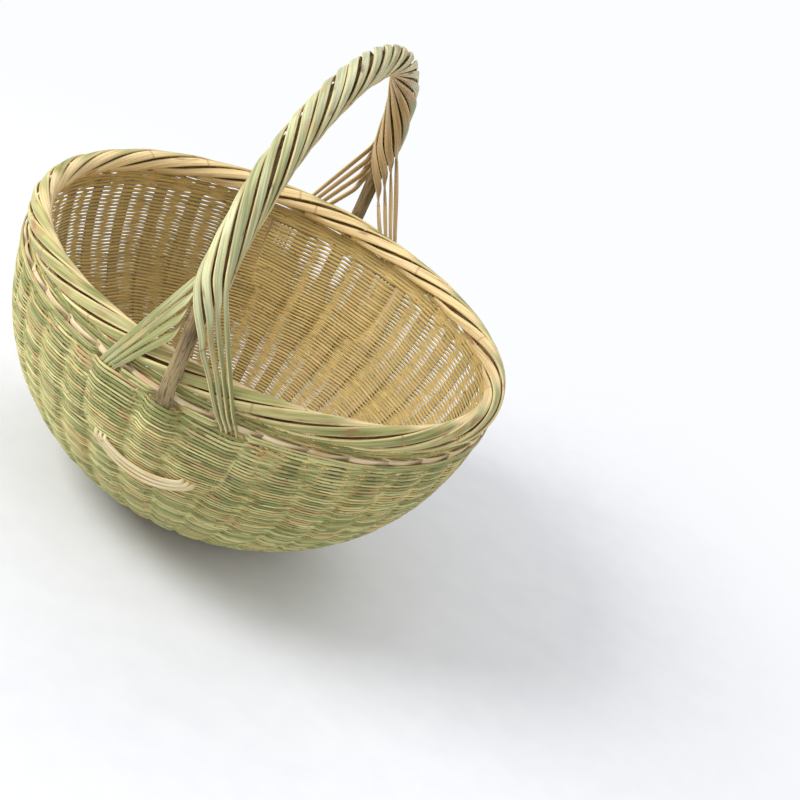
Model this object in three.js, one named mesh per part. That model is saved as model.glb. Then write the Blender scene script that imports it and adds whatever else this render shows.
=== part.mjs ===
// A round bamboo vegetable basket with an arched handle, in millimetres, +Z up.
// The origin is on the floor under the middle of the base, and the handle stands in the plane of Y and Z.
import * as THREE from "three";

// Body
const RIM_RADIUS = 173; // centre line of the rim
const RIM_HEIGHT = 178; // that centre line above the floor
const WALL_BEYOND_RIM = 4; // the middle of the wall lies this far outside the rim's centre line
const WALL_FULLNESS = 2.3; // 2 is an ellipse, more is a fuller belly
const BASE_RADIUS = 48; // flat round of the base
const BASE_WEAVE_THICKNESS = 1.2;
const CLEARANCE = 0.3; // between pieces that touch
const LEAST = 0.01; // keeps a direction from having no length

// Stakes: three bundles cross under the middle, and every stake runs from rim to rim
const BUNDLES = 3;
const STAKES_PER_BUNDLE = 6;
const STAKE_THICKNESS = 1.4;
const STAKE_WIDTH = 11; // at the top of the weave
const BASE_STAKE_GAP = 1.6; // between neighbours across the base

// Folded stake ends, lying slantwise below the rim
const FOLD_WIDTH = 6.5;
const FOLD_GAP = 1.4;
const FOLD_RUN = 26; // round the rim

// Weft bands: each is a group of weft rows that passes over one stake and under the next
const BANDS = 8;
const BAND_THICKNESS = 1.2;
const BAND_GAP = 0.5;
const FIRST_BAND_RADIUS = 66;
const CROSSING_MARGIN = 0.5; // a band stays flat this far past the edge of a stake
const WEAVE_TOP_MARGIN = 0.8; // below the bend of the folded ends

// Rim: splints twisted round a core of bundled ends
const RIM_CORE_RADIUS = 3.9;
const RIM_CORE_CLEARANCE = 0.6;
const RIM_SPLINTS = 6;
const RIM_SPLINT_THICKNESS = 2.2;
const RIM_SPLINT_GAP = 0.6;
const RIM_TURNS = 4; // of each splint round the core
const RIM_SECTION_RATIO = 1.25; // height of the rim's section over its width
const RIM_STEPS = 36;
const RIM_CORE_SIDES = 6;

// Handle: splints twisted round a stick
const HANDLE_RISE = 169; // centre line of the arch above that of the rim
const HANDLE_SQUARENESS = 0.52; // 1 is a half ellipse, less has fuller shoulders
const HANDLE_SHIFT = 26; // the crown lies this far towards +Y
const HANDLE_LEAN = -10; // the crown lies this far along X
const STICK_RADIUS = 7.25;
const STICK_SIDES = 8;
const STICK_FOOT_RADIUS = 5.4; // half its width between the legs
const STICK_FOOT_THICKNESS = 9; // where it passes the rim
const STICK_TIP_WIDTH = 8;
const STICK_TUCK_THICKNESS = 4; // where it goes behind the weave
const STICK_TIP_THICKNESS = 2;
const SPLINTS = 8;
const SPLINT_CLEARANCE = 0.75; // round the stick
const SPLINT_THICKNESS = 2.6;
const SPLINT_GAP = 0.6;
const SPLINT_TWIST = 765; // degrees from one foot to the other
const HANDLE_STEPS = 28;
const SPLIT_HEIGHT = 73; // above the rim, where the splints begin to part into two legs
const UNWIND_RUN = 6.6; // down the stick for each half place that a splint winds on before it leaves

// Foot of the handle: two legs of splints pass the rim and are tucked behind the weave
const LEG_ANGLE = 15; // degrees round the basket from the stick
const LEG_SPLINT_WIDTH = 3.2;
const LEG_SPLINT_DEPTH = 2.2;
const LEG_SPLINT_GAP = 0.5;
const LEG_BANDS = 2; // bands that the legs are tucked behind
const RIM_PASS = 2; // the legs lie against the outside of the rim from this far above it

// Loops of splint that show again on the wall below each foot
const LOOP_STRANDS = 3;
const LOOP_WIDTH = 3.2;
const LOOP_GAP = 0.5;
const LOOP_THICKNESS = 1.6;
const LOOP_CLEARANCE = 0.7; // off the flats of the weave
const LOOP_HALF_SPAN = 28; // inside the innermost strand
const LOOP_END_DEPTH = 73; // below the rim
const LOOP_SAG = 7; // of that strand
const LOOP_STEPS = 10;

const radians = THREE.MathUtils.degToRad;
const lerp = THREE.MathUtils.lerp;

// Sizes that follow from the driving dimensions
const WALL_RADIUS = RIM_RADIUS + WALL_BEYOND_RIM;
const STAKES = 2 * BUNDLES * STAKES_PER_BUNDLE;
const STAKE_STEP = (2 * Math.PI) / STAKES;
const LAYER_STEP = STAKE_THICKNESS + CLEARANCE;
const BASE_LEVEL =
  BASE_WEAVE_THICKNESS + CLEARANCE + STAKE_THICKNESS / 2 + ((BUNDLES - 1) / 2) * LAYER_STEP;
const BASE_STAKE_PITCH = BASE_RADIUS * Math.sin(STAKE_STEP);
const BASE_STAKE_WIDTH = BASE_STAKE_PITCH - BASE_STAKE_GAP;
const BASE_FLAT_RADIUS = BASE_RADIUS / Math.cos(STAKE_STEP / 2) + CLEARANCE;
const BASE_ANGLE = Math.acos(BASE_RADIUS / WALL_RADIUS);
const WALL_DEPTH = (RIM_HEIGHT - BASE_LEVEL) / Math.sin(BASE_ANGLE) ** (2 / WALL_FULLNESS);

const RIM_SPLINT_INNER = RIM_CORE_RADIUS + RIM_CORE_CLEARANCE;
const RIM_SPLINT_OUTER = RIM_SPLINT_INNER + RIM_SPLINT_THICKNESS;
const RIM_HALF_WIDTH = RIM_SPLINT_OUTER / Math.cos(Math.PI / RIM_SPLINTS);
const RIM_HALF_HEIGHT = RIM_HALF_WIDTH * RIM_SECTION_RATIO;
const RIM_OUTSIDE = RIM_RADIUS + RIM_HALF_WIDTH + CLEARANCE;

const STAKE_PITCH = WALL_RADIUS * STAKE_STEP;
const FOLD_SLOPE = Math.asin((FOLD_WIDTH + FOLD_GAP) / STAKE_PITCH);
const FOLD_RISE = FOLD_RUN * Math.tan(FOLD_SLOPE);
const FOLD_DEPTH =
  RIM_HALF_HEIGHT + CLEARANCE + FOLD_RISE + (FOLD_WIDTH / 2) * Math.cos(FOLD_SLOPE);
const FOLD_MITRE =
  (FOLD_WIDTH / 2 - (STAKE_WIDTH / 2) * Math.sin(FOLD_SLOPE)) / Math.cos(FOLD_SLOPE);
const WEAVE_TOP = FOLD_DEPTH + Math.abs(FOLD_MITRE) + WEAVE_TOP_MARGIN;

const OVER = STAKE_THICKNESS / 2 + CLEARANCE; // face of the wall's layer next to a stake
const WALL_FACE = OVER + BAND_THICKNESS; // outside of the weave
const FOOT_RADIUS = RIM_OUTSIDE + STICK_FOOT_THICKNESS / 2;
const SPLINT_INNER = STICK_RADIUS + SPLINT_CLEARANCE;
const SPLINT_OUTER = SPLINT_INNER + SPLINT_THICKNESS;
const UNWIND_STEP = Math.PI / SPLINTS;
const LEG_PITCH = LEG_SPLINT_WIDTH + LEG_SPLINT_GAP;
const LEG_SPLINTS = SPLINTS / 2;
const LEG_HALF_WIDTH = (LEG_SPLINTS * LEG_PITCH - LEG_SPLINT_GAP) / 2;

const FINISH = {
  stake: { color: 0xdcc48c, roughness: 0.62 },
  weft: { color: 0xa3a45c, roughness: 0.6 },
  base: { color: 0xb09a58, roughness: 0.66 },
  rim: { color: 0xb9bc78, roughness: 0.5 },
  core: { color: 0xb48a50, roughness: 0.7 },
  stick: { color: 0x8a6a42, roughness: 0.72 },
  handle: { color: 0xc3c583, roughness: 0.48 },
  loop: { color: 0xe2cf9c, roughness: 0.6 },
};

const basket = new THREE.Group();

function addPiece(name, geometry, finish) {
  const mesh = new THREE.Mesh(geometry, new THREE.MeshStandardMaterial({ ...finish, metalness: 0 }));
  mesh.name = name;
  basket.add(mesh);
}

// A closed solid lofted through rings of points; a looped one joins its last ring to its first.
function loft(rings, looped = false) {
  const sides = rings[0].length;
  const steps = looped ? rings.length : rings.length - 1;
  const index = [];
  for (let i = 0; i < steps; i++) {
    const here = i * sides;
    const next = ((i + 1) % rings.length) * sides;
    for (let j = 0; j < sides; j++) {
      const k = (j + 1) % sides;
      index.push(here + j, here + k, next + k, here + j, next + k, next + j);
    }
  }
  if (!looped) {
    const last = (rings.length - 1) * sides;
    for (let j = 1; j < sides - 1; j++) {
      index.push(0, j + 1, j, last, last + j, last + j + 1);
    }
  }
  const geometry = new THREE.BufferGeometry().setFromPoints(rings.flat());
  geometry.setIndex(facesOutward(rings.flat(), index) ? index : index.reverse());
  return geometry;
}

// Whether triangles enclose a positive volume
function facesOutward(points, index) {
  let volume = 0;
  for (let i = 0; i < index.length; i += 3) {
    const [a, b, c] = index.slice(i, i + 3).map((n) => points[n]);
    volume += a.dot(new THREE.Vector3().crossVectors(b, c));
  }
  return volume > 0;
}

// A flat ring of four points, wide along one direction and thick along another
function strip(centre, side, out, width, thickness, innerWidth = width) {
  const corner = (s, o) => centre.clone().addScaledVector(side, s / 2).addScaledVector(out, o / 2);
  return [
    corner(-innerWidth, -thickness),
    corner(innerWidth, -thickness),
    corner(width, thickness),
    corner(-width, thickness),
  ];
}

// The wall is a surface of revolution: an angle runs down it from 0 at the rim to BASE_ANGLE.
function wallAngle(depth) {
  return Math.asin((depth / WALL_DEPTH) ** (WALL_FULLNESS / 2));
}

function wallPoint(angle, azimuth, offset) {
  const sine = Math.max(Math.sin(angle), LEAST);
  const depth = WALL_DEPTH * sine ** (2 / WALL_FULLNESS);
  const normal = new THREE.Vector2(
    ((2 / WALL_FULLNESS) * depth * Math.cos(angle)) / sine,
    -WALL_RADIUS * sine,
  ).normalize();
  const radius = WALL_RADIUS * Math.cos(angle) + offset * normal.x;
  const height = RIM_HEIGHT - depth + offset * normal.y;
  return new THREE.Vector3(radius * Math.cos(azimuth), radius * Math.sin(azimuth), height);
}

function wallRadius(angle) {
  return WALL_RADIUS * Math.cos(angle);
}

// A ring across a strip that lies on the wall, from one edge of it to the other
function wallRing(one, other) {
  return [
    wallPoint(one.angle, one.azimuth, one.inner),
    wallPoint(other.angle, other.azimuth, other.inner),
    wallPoint(other.angle, other.azimuth, other.outer),
    wallPoint(one.angle, one.azimuth, one.outer),
  ];
}

const WEAVE_TOP_ANGLE = wallAngle(WEAVE_TOP);
const FIRST_BAND_ANGLE = Math.acos(FIRST_BAND_RADIUS / WALL_RADIUS);
const BAND_EDGES = Array.from({ length: BANDS + 1 }, (_, i) =>
  lerp(FIRST_BAND_ANGLE, WEAVE_TOP_ANGLE, i / BANDS),
);

function stakeWidth(angle) {
  const share = (BASE_ANGLE - angle) / (BASE_ANGLE - WEAVE_TOP_ANGLE);
  return lerp(BASE_STAKE_WIDTH, STAKE_WIDTH, THREE.MathUtils.clamp(share, 0, 1));
}

// The rings of one half of a stake, from the edge of the base up the wall and round the fold
function stakeHalf(direction, place, layer) {
  const azimuth = direction + place * STAKE_STEP;
  const half = STAKE_THICKNESS / 2;
  const along = new THREE.Vector3(-Math.sin(direction), Math.cos(direction), 0);
  const across = new THREE.Vector3(-Math.sin(azimuth), Math.cos(azimuth), 0);
  const edge = new THREE.Vector3(
    BASE_RADIUS * Math.cos(azimuth),
    BASE_RADIUS * Math.sin(azimuth),
    BASE_LEVEL + layer * LAYER_STEP,
  );
  const down = new THREE.Vector3(0, 0, -1);
  const rings = [strip(edge, along.add(across).normalize(), down, BASE_STAKE_WIDTH, STAKE_THICKNESS)];
  for (const angle of BAND_EDGES) {
    const turn = stakeWidth(angle) / 2 / wallRadius(angle);
    const left = { angle, azimuth: azimuth - turn, inner: -half, outer: half };
    const right = { angle, azimuth: azimuth + turn, inner: -half, outer: half };
    rings.push(wallRing(left, right));
  }
  const onFold = (run, rise) => ({
    angle: wallAngle(FOLD_DEPTH - rise),
    azimuth: azimuth + run / WALL_RADIUS,
    inner: -half,
    outer: half,
  });
  rings.push(
    wallRing(onFold(-STAKE_WIDTH / 2, -FOLD_MITRE), onFold(STAKE_WIDTH / 2, FOLD_MITRE)),
  );
  const tipRun = (FOLD_WIDTH / 2) * Math.sin(FOLD_SLOPE);
  const tipRise = (FOLD_WIDTH / 2) * Math.cos(FOLD_SLOPE);
  rings.push(
    wallRing(
      onFold(-FOLD_RUN - tipRun, FOLD_RISE - tipRise),
      onFold(-FOLD_RUN + tipRun, FOLD_RISE + tipRise),
    ),
  );
  return rings;
}

// A stake leaves the base at both ends; its far half is seen from the other side, so its rings turn round.
function stakeGeometry(bundle, place) {
  const direction = STAKE_STEP / 2 + (bundle * Math.PI) / BUNDLES;
  const layer = bundle - (BUNDLES - 1) / 2;
  const near = stakeHalf(direction, place, layer);
  const far = stakeHalf(direction + Math.PI, -place, layer);
  const turned = far.map(([a, b, c, d]) => [b, a, d, c]);
  return loft([...turned.reverse(), ...near]);
}

function addStakes() {
  for (let bundle = 0; bundle < BUNDLES; bundle++) {
    for (let n = 0; n < STAKES_PER_BUNDLE; n++) {
      const place = n - (STAKES_PER_BUNDLE - 1) / 2;
      const number = String(bundle * STAKES_PER_BUNDLE + n + 1).padStart(2, "0");
      addPiece(`stake_${number}`, stakeGeometry(bundle, place), FINISH.stake);
    }
  }
}

// The first weft rows are woven tight under the crossing of the stakes, and the basket stands on them.
function addBaseWeave() {
  const bottom = wallPoint(FIRST_BAND_ANGLE, 0, OVER + BASE_WEAVE_THICKNESS);
  const top = wallPoint(FIRST_BAND_ANGLE, 0, OVER);
  const profile = [
    new THREE.Vector2(0, 0),
    new THREE.Vector2(BASE_FLAT_RADIUS, 0),
    new THREE.Vector2(bottom.x, bottom.z),
    new THREE.Vector2(top.x, top.z),
    new THREE.Vector2(BASE_FLAT_RADIUS, BASE_WEAVE_THICKNESS),
    new THREE.Vector2(0, BASE_WEAVE_THICKNESS),
  ];
  const geometry = new THREE.LatheGeometry(profile, STAKES);
  geometry.rotateX(Math.PI / 2);
  addPiece("base_weave", geometry, FINISH.base);
}

// How far the legs' splints lie from the middle of the wall: outside the folds, then between the stakes
function legOffset(below) {
  return below < 1 ? OVER + LEG_SPLINT_DEPTH / 2 : 0;
}

// The legs that a band passes outside of, at an edge so many band heights below the top of the weave
function legPasses(band, below) {
  const passes = [];
  if (band >= BANDS - LEG_BANDS) {
    const inner = legOffset(below) + LEG_SPLINT_DEPTH / 2 + CLEARANCE;
    for (const foot of [-1, 1]) {
      for (const side of [-1, 1]) {
        const azimuth = (foot * Math.PI) / 2 + side * radians(LEG_ANGLE);
        passes.push({ azimuth, width: 2 * LEG_HALF_WIDTH, inner });
      }
    }
  }
  return passes;
}

// The stakes that a band passes; the top band goes over the handle's stick as well at two of them
function stakePasses(band, below, width) {
  const passes = [];
  for (let n = 0; n < STAKES; n++) {
    const azimuth = -Math.PI + n * STAKE_STEP;
    const over = (band + n + BANDS + STAKES / 4) % 2 === 1;
    const atFoot = n === STAKES / 4 || n === (3 * STAKES) / 4;
    if (atFoot && band === BANDS - 1) {
      const reach = lerp(STICK_TUCK_THICKNESS, STICK_TIP_THICKNESS, below);
      const stickWidth = lerp(2 * STICK_FOOT_RADIUS, STICK_TIP_WIDTH, below);
      passes.push({ azimuth, width: Math.max(width, stickWidth), inner: OVER + reach + CLEARANCE });
    } else {
      passes.push({ azimuth, width, inner: over ? OVER : -OVER - BAND_THICKNESS });
    }
  }
  return passes;
}

// The places that an edge of a band takes round the wall: two beside each thing it passes
function bandEdge(band, edge, lift) {
  const angle = BAND_EDGES[edge] + lift;
  const radius = wallRadius(angle);
  const below = BANDS - edge;
  const passes = [...stakePasses(band, below, stakeWidth(angle)), ...legPasses(band, below)];
  passes.sort((one, other) => one.azimuth - other.azimuth);
  return passes.flatMap(({ azimuth, width, inner }) => {
    const turn = (width / 2 + CROSSING_MARGIN) / radius;
    const outer = inner + BAND_THICKNESS;
    return [-turn, turn].map((swing) => ({ angle, azimuth: azimuth + swing, inner, outer }));
  });
}

function addBands() {
  for (let band = 0; band < BANDS; band++) {
    const middle = wallRadius((BAND_EDGES[band] + BAND_EDGES[band + 1]) / 2);
    const lift = BAND_GAP / 2 / Math.max(middle, WALL_DEPTH);
    const bottom = bandEdge(band, band, -lift);
    const top = bandEdge(band, band + 1, lift);
    const rings = bottom.map((place, i) => wallRing(place, top[i]));
    addPiece(`weft_band_${band + 1}`, loft(rings, true), FINISH.weft);
  }
}

// The last weft rows lie behind the folded ends, up to the rim.
function addTopRows() {
  const foldSag = (FOLD_RUN + STAKE_WIDTH / 2) ** 2 / (8 * WALL_RADIUS); // a fold is straight between its ends
  const outer = -OVER - foldSag;
  const inner = outer - BAND_THICKNESS;
  const top = wallAngle(RIM_HALF_HEIGHT + CLEARANCE);
  const bottom = wallAngle(WEAVE_TOP - BAND_GAP);
  const rings = [];
  for (let n = 0; n < STAKES; n++) {
    const azimuth = (n + 0.5) * STAKE_STEP;
    rings.push(wallRing({ angle: bottom, azimuth, inner, outer }, { angle: top, azimuth, inner, outer }));
  }
  addPiece(`weft_band_${BANDS + 1}`, loft(rings, true), FINISH.weft);
}

// A point of the rim's section, turned round the basket
function rimPoint(azimuth, out, up) {
  const radius = RIM_RADIUS + out;
  return new THREE.Vector3(
    radius * Math.cos(azimuth),
    radius * Math.sin(azimuth),
    RIM_HEIGHT + up * RIM_SECTION_RATIO,
  );
}

function addRim() {
  const core = new THREE.Shape().absarc(0, 0, RIM_CORE_RADIUS, 0, 2 * Math.PI);
  const section = core.getPoints(RIM_CORE_SIDES / 2).slice(0, RIM_CORE_SIDES);
  const coreRings = [];
  for (let i = 0; i < RIM_STEPS; i++) {
    const azimuth = (i / RIM_STEPS) * 2 * Math.PI;
    coreRings.push(section.map((p) => rimPoint(azimuth, p.x, p.y)));
  }
  addPiece("rim_core", loft(coreRings, true), FINISH.core);

  const slope = Math.tan(Math.PI / RIM_SPLINTS);
  const innerHalf = RIM_SPLINT_INNER * slope - RIM_SPLINT_GAP / 2;
  const outerHalf = RIM_SPLINT_OUTER * slope - RIM_SPLINT_GAP / 2;
  const corners = [
    new THREE.Vector2(RIM_SPLINT_INNER, -innerHalf),
    new THREE.Vector2(RIM_SPLINT_OUTER, -outerHalf),
    new THREE.Vector2(RIM_SPLINT_OUTER, outerHalf),
    new THREE.Vector2(RIM_SPLINT_INNER, innerHalf),
  ];
  const centre = new THREE.Vector2(0, 0);
  for (let n = 0; n < RIM_SPLINTS; n++) {
    const rings = [];
    for (let i = 0; i < RIM_STEPS; i++) {
      const azimuth = (i / RIM_STEPS) * 2 * Math.PI;
      const twist = (n / RIM_SPLINTS) * 2 * Math.PI + RIM_TURNS * azimuth;
      const turned = corners.map((p) => p.clone().rotateAround(centre, twist));
      rings.push(turned.map((p) => rimPoint(azimuth, p.x, p.y)));
    }
    addPiece(`rim_splint_${n + 1}`, loft(rings, true), FINISH.rim);
  }
}

// The centre line of the handle above the rim, from the foot at -Y to the foot at +Y
class HandleArch extends THREE.Curve {
  getPoint(t, target = new THREE.Vector3()) {
    const turn = t * Math.PI;
    const sine = Math.max(Math.sin(turn), 0);
    return target.set(
      HANDLE_LEAN * sine,
      -FOOT_RADIUS * Math.cos(turn) + HANDLE_SHIFT * sine ** 2,
      RIM_HEIGHT + HANDLE_RISE * sine ** HANDLE_SQUARENESS,
    );
  }
}

const arch = new HandleArch();
arch.arcLengthDivisions = 1000;

// The directions out of the arch and across it at a share of its length
function archFrame(share) {
  const along = arch.getTangentAt(share);
  const across = new THREE.Vector3(1, 0, 0).addScaledVector(along, -along.x).normalize();
  const out = new THREE.Vector3().crossVectors(across, along);
  return { centre: arch.getPointAt(share), out, across };
}

// A ring round a centre, wide along one direction and deep along the other
function ovalRing({ centre, out, across }, halfWidth, halfDepth, sides) {
  return Array.from({ length: sides }, (_, i) => {
    const turn = ((i + 0.5) / sides) * 2 * Math.PI;
    return centre
      .clone()
      .addScaledVector(across, halfWidth * Math.sin(turn))
      .addScaledVector(out, halfDepth * Math.cos(turn));
  });
}

const SPLIT_SHARE = SPLIT_HEIGHT / arch.getLength();

// The stick's foot from its tip up: a tongue behind the top weft band, flattened past the rim, then slim
function stickFoot(side) {
  const across = new THREE.Vector3(1, 0, 0);
  const out = new THREE.Vector3(0, side, 0);
  const passing = (height) => ({
    centre: new THREE.Vector3(0, side * FOOT_RADIUS, height),
    out,
    across,
  });
  const behind = (edge, thickness) => ({
    centre: wallPoint(BAND_EDGES[edge], (side * Math.PI) / 2, OVER + thickness / 2),
    out,
    across,
  });
  const full = STICK_FOOT_RADIUS / Math.cos(Math.PI / STICK_SIDES);
  const flat = (thickness) => thickness / 2 / Math.cos(Math.PI / STICK_SIDES);
  const tip = behind(BANDS - 1, STICK_TIP_THICKNESS);
  tip.centre.z += BAND_GAP;
  return [
    ovalRing(tip, STICK_TIP_WIDTH / 2, flat(STICK_TIP_THICKNESS), STICK_SIDES),
    ovalRing(behind(BANDS, STICK_TUCK_THICKNESS), STICK_FOOT_RADIUS, flat(STICK_TUCK_THICKNESS), STICK_SIDES),
    ovalRing(passing(RIM_HEIGHT - RIM_HALF_HEIGHT), full, flat(STICK_FOOT_THICKNESS), STICK_SIDES),
    ovalRing(passing(RIM_HEIGHT + RIM_HALF_HEIGHT), full, flat(STICK_FOOT_THICKNESS), STICK_SIDES),
    ovalRing(archFrame(side < 0 ? SPLIT_SHARE / 2 : 1 - SPLIT_SHARE / 2), full, full, STICK_SIDES),
  ];
}

function addStick() {
  const rings = stickFoot(-1);
  for (let i = 0; i <= HANDLE_STEPS; i++) {
    const share = lerp(SPLIT_SHARE, 1 - SPLIT_SHARE, i / HANDLE_STEPS);
    rings.push(ovalRing(archFrame(share), STICK_RADIUS, STICK_RADIUS, STICK_SIDES));
  }
  addPiece("handle_stick", loft([...rings, ...stickFoot(1).reverse()]), FINISH.stick);
}

// One splint's section on the stick at a share of the arch, turned by an angle from the outside of the arch
function splintSection(share, turn) {
  const { centre, out, across } = archFrame(share);
  const away = out.clone().multiplyScalar(Math.cos(turn)).addScaledVector(across, Math.sin(turn));
  const side = across.clone().multiplyScalar(Math.cos(turn)).addScaledVector(out, -Math.sin(turn));
  const slope = Math.tan(Math.PI / SPLINTS);
  return {
    centre: centre.addScaledVector(away, (SPLINT_INNER + SPLINT_OUTER) / 2),
    away,
    side,
    innerWidth: 2 * SPLINT_INNER * slope - SPLINT_GAP,
    width: 2 * SPLINT_OUTER * slope - SPLINT_GAP,
    thickness: SPLINT_THICKNESS,
  };
}

// A splint's section in a leg on one side of the stick, +1 towards +X; it stands on edge there
function legSection(azimuth, foot, side, radius, height) {
  const outward = new THREE.Vector3(Math.cos(azimuth), Math.sin(azimuth), 0);
  const round = new THREE.Vector3(-Math.sin(azimuth), Math.cos(azimuth), 0);
  return {
    centre: outward.clone().multiplyScalar(radius).setZ(height),
    away: round.multiplyScalar(-foot * side),
    side: outward.multiplyScalar(-side),
    innerWidth: LEG_SPLINT_DEPTH,
    width: LEG_SPLINT_DEPTH,
    thickness: LEG_SPLINT_WIDTH,
  };
}

// A section made narrower, by a share of the way from the handle to the leg
function thinned(section, share) {
  return {
    ...section,
    innerWidth: lerp(section.innerWidth, LEG_SPLINT_DEPTH, share),
    width: lerp(section.width, LEG_SPLINT_DEPTH, share),
    thickness: lerp(section.thickness, LEG_SPLINT_WIDTH, share),
  };
}

function sectionRing(section) {
  const { centre, side, away, width, thickness, innerWidth } = section;
  return strip(centre, side, away, width, thickness, innerWidth);
}

// The sections of one splint in a foot, from the split down to its tucked tip. It first winds on to a side of
// the stick: splints on the outer face go to one leg, those behind to the other, and the first to leave goes
// farthest.
function legSections(turn, foot) {
  const winding = -foot;
  const wound = THREE.MathUtils.euclideanModulo(winding * turn + Math.PI / 2, 2 * Math.PI) - Math.PI / 2;
  const outside = wound < Math.PI / 2;
  const side = outside ? winding : -winding; // +1 goes towards +X
  const leaving = outside ? Math.PI / 2 : (3 * Math.PI) / 2;
  const steps = Math.round((leaving - wound) / UNWIND_STEP);
  const sections = [];
  for (let i = 1; i <= steps; i++) {
    const down = (SPLIT_HEIGHT - i * UNWIND_RUN) / arch.getLength();
    const wrapped = splintSection(foot < 0 ? down : 1 - down, turn + winding * i * UNWIND_STEP);
    sections.push(thinned(wrapped, i / steps));
  }

  const order = (steps - 1) / 2; // 0 is farthest from the stick
  const beyond = ((LEG_SPLINTS - 1) / 2 - order) * LEG_PITCH;
  const behind = (below, lift) => {
    const at = wallPoint(BAND_EDGES[BANDS - below] - lift, 0, legOffset(below));
    const turned = radians(LEG_ANGLE) + beyond / at.x;
    return legSection((foot * Math.PI) / 2 - foot * side * turned, foot, side, at.x, at.z);
  };
  const from = sections[steps - 1].centre;
  const tuck = behind(0, 0);
  const passing = RIM_OUTSIDE + LEG_SPLINT_DEPTH / 2;
  for (const height of [RIM_HEIGHT + RIM_HALF_HEIGHT + RIM_PASS, RIM_HEIGHT - RIM_HALF_HEIGHT]) {
    const x = THREE.MathUtils.mapLinear(height, from.z, tuck.centre.z, from.x, tuck.centre.x);
    sections.push(legSection(foot * Math.acos(x / passing), foot, side, passing, height));
  }
  sections.push(tuck, behind(1, 0), behind(LEG_BANDS, BAND_GAP / WALL_RADIUS));
  return sections;
}

function addSplints() {
  for (let n = 0; n < SPLINTS; n++) {
    const start = ((n + 0.5) / SPLINTS) * 2 * Math.PI;
    const turnAt = (share) => start - radians(SPLINT_TWIST) * share;
    const wrap = [];
    for (let i = 0; i <= HANDLE_STEPS; i++) {
      const share = i / HANDLE_STEPS;
      wrap.push(splintSection(lerp(SPLIT_SHARE, 1 - SPLIT_SHARE, share), turnAt(share)));
    }
    const near = legSections(turnAt(0), -1).reverse();
    const far = legSections(turnAt(1), 1);
    const rings = [...near, ...wrap, ...far].map(sectionRing);
    addPiece(`handle_splint_${n + 1}`, loft(rings), FINISH.handle);
  }
}

// Below each foot the splints come out through the wall and go round in nested loops.
function addLoops() {
  for (const [name, foot] of [
    ["front", -1],
    ["back", 1],
  ]) {
    for (let n = 0; n < LOOP_STRANDS; n++) {
      const drop = n * (LOOP_WIDTH + LOOP_GAP);
      const rings = [];
      for (let i = 0; i <= LOOP_STEPS; i++) {
        const turn = (i / LOOP_STEPS) * Math.PI;
        const edge = (beyond) => {
          const reach = 1 + beyond / LOOP_HALF_SPAN;
          const angle = wallAngle(LOOP_END_DEPTH + (LOOP_SAG + beyond) * Math.sin(turn));
          const swing = (-LOOP_HALF_SPAN * reach * Math.cos(turn)) / wallRadius(angle);
          const inner = WALL_FACE + LOOP_CLEARANCE;
          return { angle, azimuth: (foot * Math.PI) / 2 + swing, inner, outer: inner + LOOP_THICKNESS };
        };
        rings.push(wallRing(edge(drop), edge(drop + LOOP_WIDTH)));
      }
      addPiece(`${name}_loop_${n + 1}`, loft(rings), FINISH.loop);
    }
  }
}

addBaseWeave();
addStakes();
addBands();
addTopRows();
addRim();
addStick();
addSplints();
addLoops();

export default basket;
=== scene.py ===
"""Dresses the bamboo vegetable basket: each weft row, stake and ribbon has its own shape and finish."""
import logging
import math
from dataclasses import dataclass
from enum import Enum
from typing import ClassVar

import bpy
import numpy as np
from mathutils import Matrix, Vector


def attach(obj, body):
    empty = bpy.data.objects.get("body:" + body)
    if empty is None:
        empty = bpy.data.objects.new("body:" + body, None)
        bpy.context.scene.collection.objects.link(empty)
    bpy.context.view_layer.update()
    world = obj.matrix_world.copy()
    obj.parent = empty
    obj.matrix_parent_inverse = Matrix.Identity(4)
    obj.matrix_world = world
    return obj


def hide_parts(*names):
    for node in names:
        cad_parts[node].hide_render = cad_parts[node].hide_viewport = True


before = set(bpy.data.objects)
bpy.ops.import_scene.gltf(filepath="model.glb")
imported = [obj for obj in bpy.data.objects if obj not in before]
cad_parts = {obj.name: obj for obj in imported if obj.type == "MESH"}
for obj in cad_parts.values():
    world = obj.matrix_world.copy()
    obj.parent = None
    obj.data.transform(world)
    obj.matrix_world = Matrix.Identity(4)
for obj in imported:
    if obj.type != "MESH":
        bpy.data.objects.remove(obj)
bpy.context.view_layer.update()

MM = 0.001
FULL_TURN = 2.0 * math.pi
BODY = "root"
BAKE_MAP = "OFBake"
LOG = logging.getLogger("basket")

Array = np.ndarray
Values = np.ndarray | float
Socket = bpy.types.NodeSocket
Span = tuple[float, float]
Triple = tuple[float, float, float]
Paint = tuple[int, int, int]
Waves = tuple[int, ...]


class Slot(Enum):
    """The record's material slots."""

    BASE = "base_weft"
    STAKE = "stake_bamboo"
    WEFT = "weft_bamboo"
    RIM = "rim_splint_bamboo"
    CORE = "rim_core_bamboo"
    STICK = "stick_wood"
    HANDLE = "handle_splint_bamboo"
    LOOP = "loop_splint"


class Foot(Enum):
    """The two feet of the handle, by the sign of their place along Y."""

    NEAR = -1
    FAR = 1


def tint(paint: Paint) -> tuple[float, float, float, float]:
    """Turns a colour as it is seen on a screen, 0 to 255, into a linear one with full alpha."""
    shares = [value / 255.0 for value in paint]
    return (*(s / 12.92 if s <= 0.04045 else ((s + 0.055) / 1.055) ** 2.4 for s in shares), 1.0)


def unit(vectors: Array) -> Array:
    """Gives vectors a length of one, along their last axis."""
    return vectors / np.maximum(np.linalg.norm(vectors, axis=-1, keepdims=True), 1e-9)


def ease(value: Values, low: float, high: float) -> Array:
    """Rises smoothly from 0 at low to 1 at high, which may lie below low."""
    share = np.clip((np.asarray(value, float) - low) / (high - low), 0.0, 1.0)
    return share * share * (3.0 - 2.0 * share)


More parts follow.
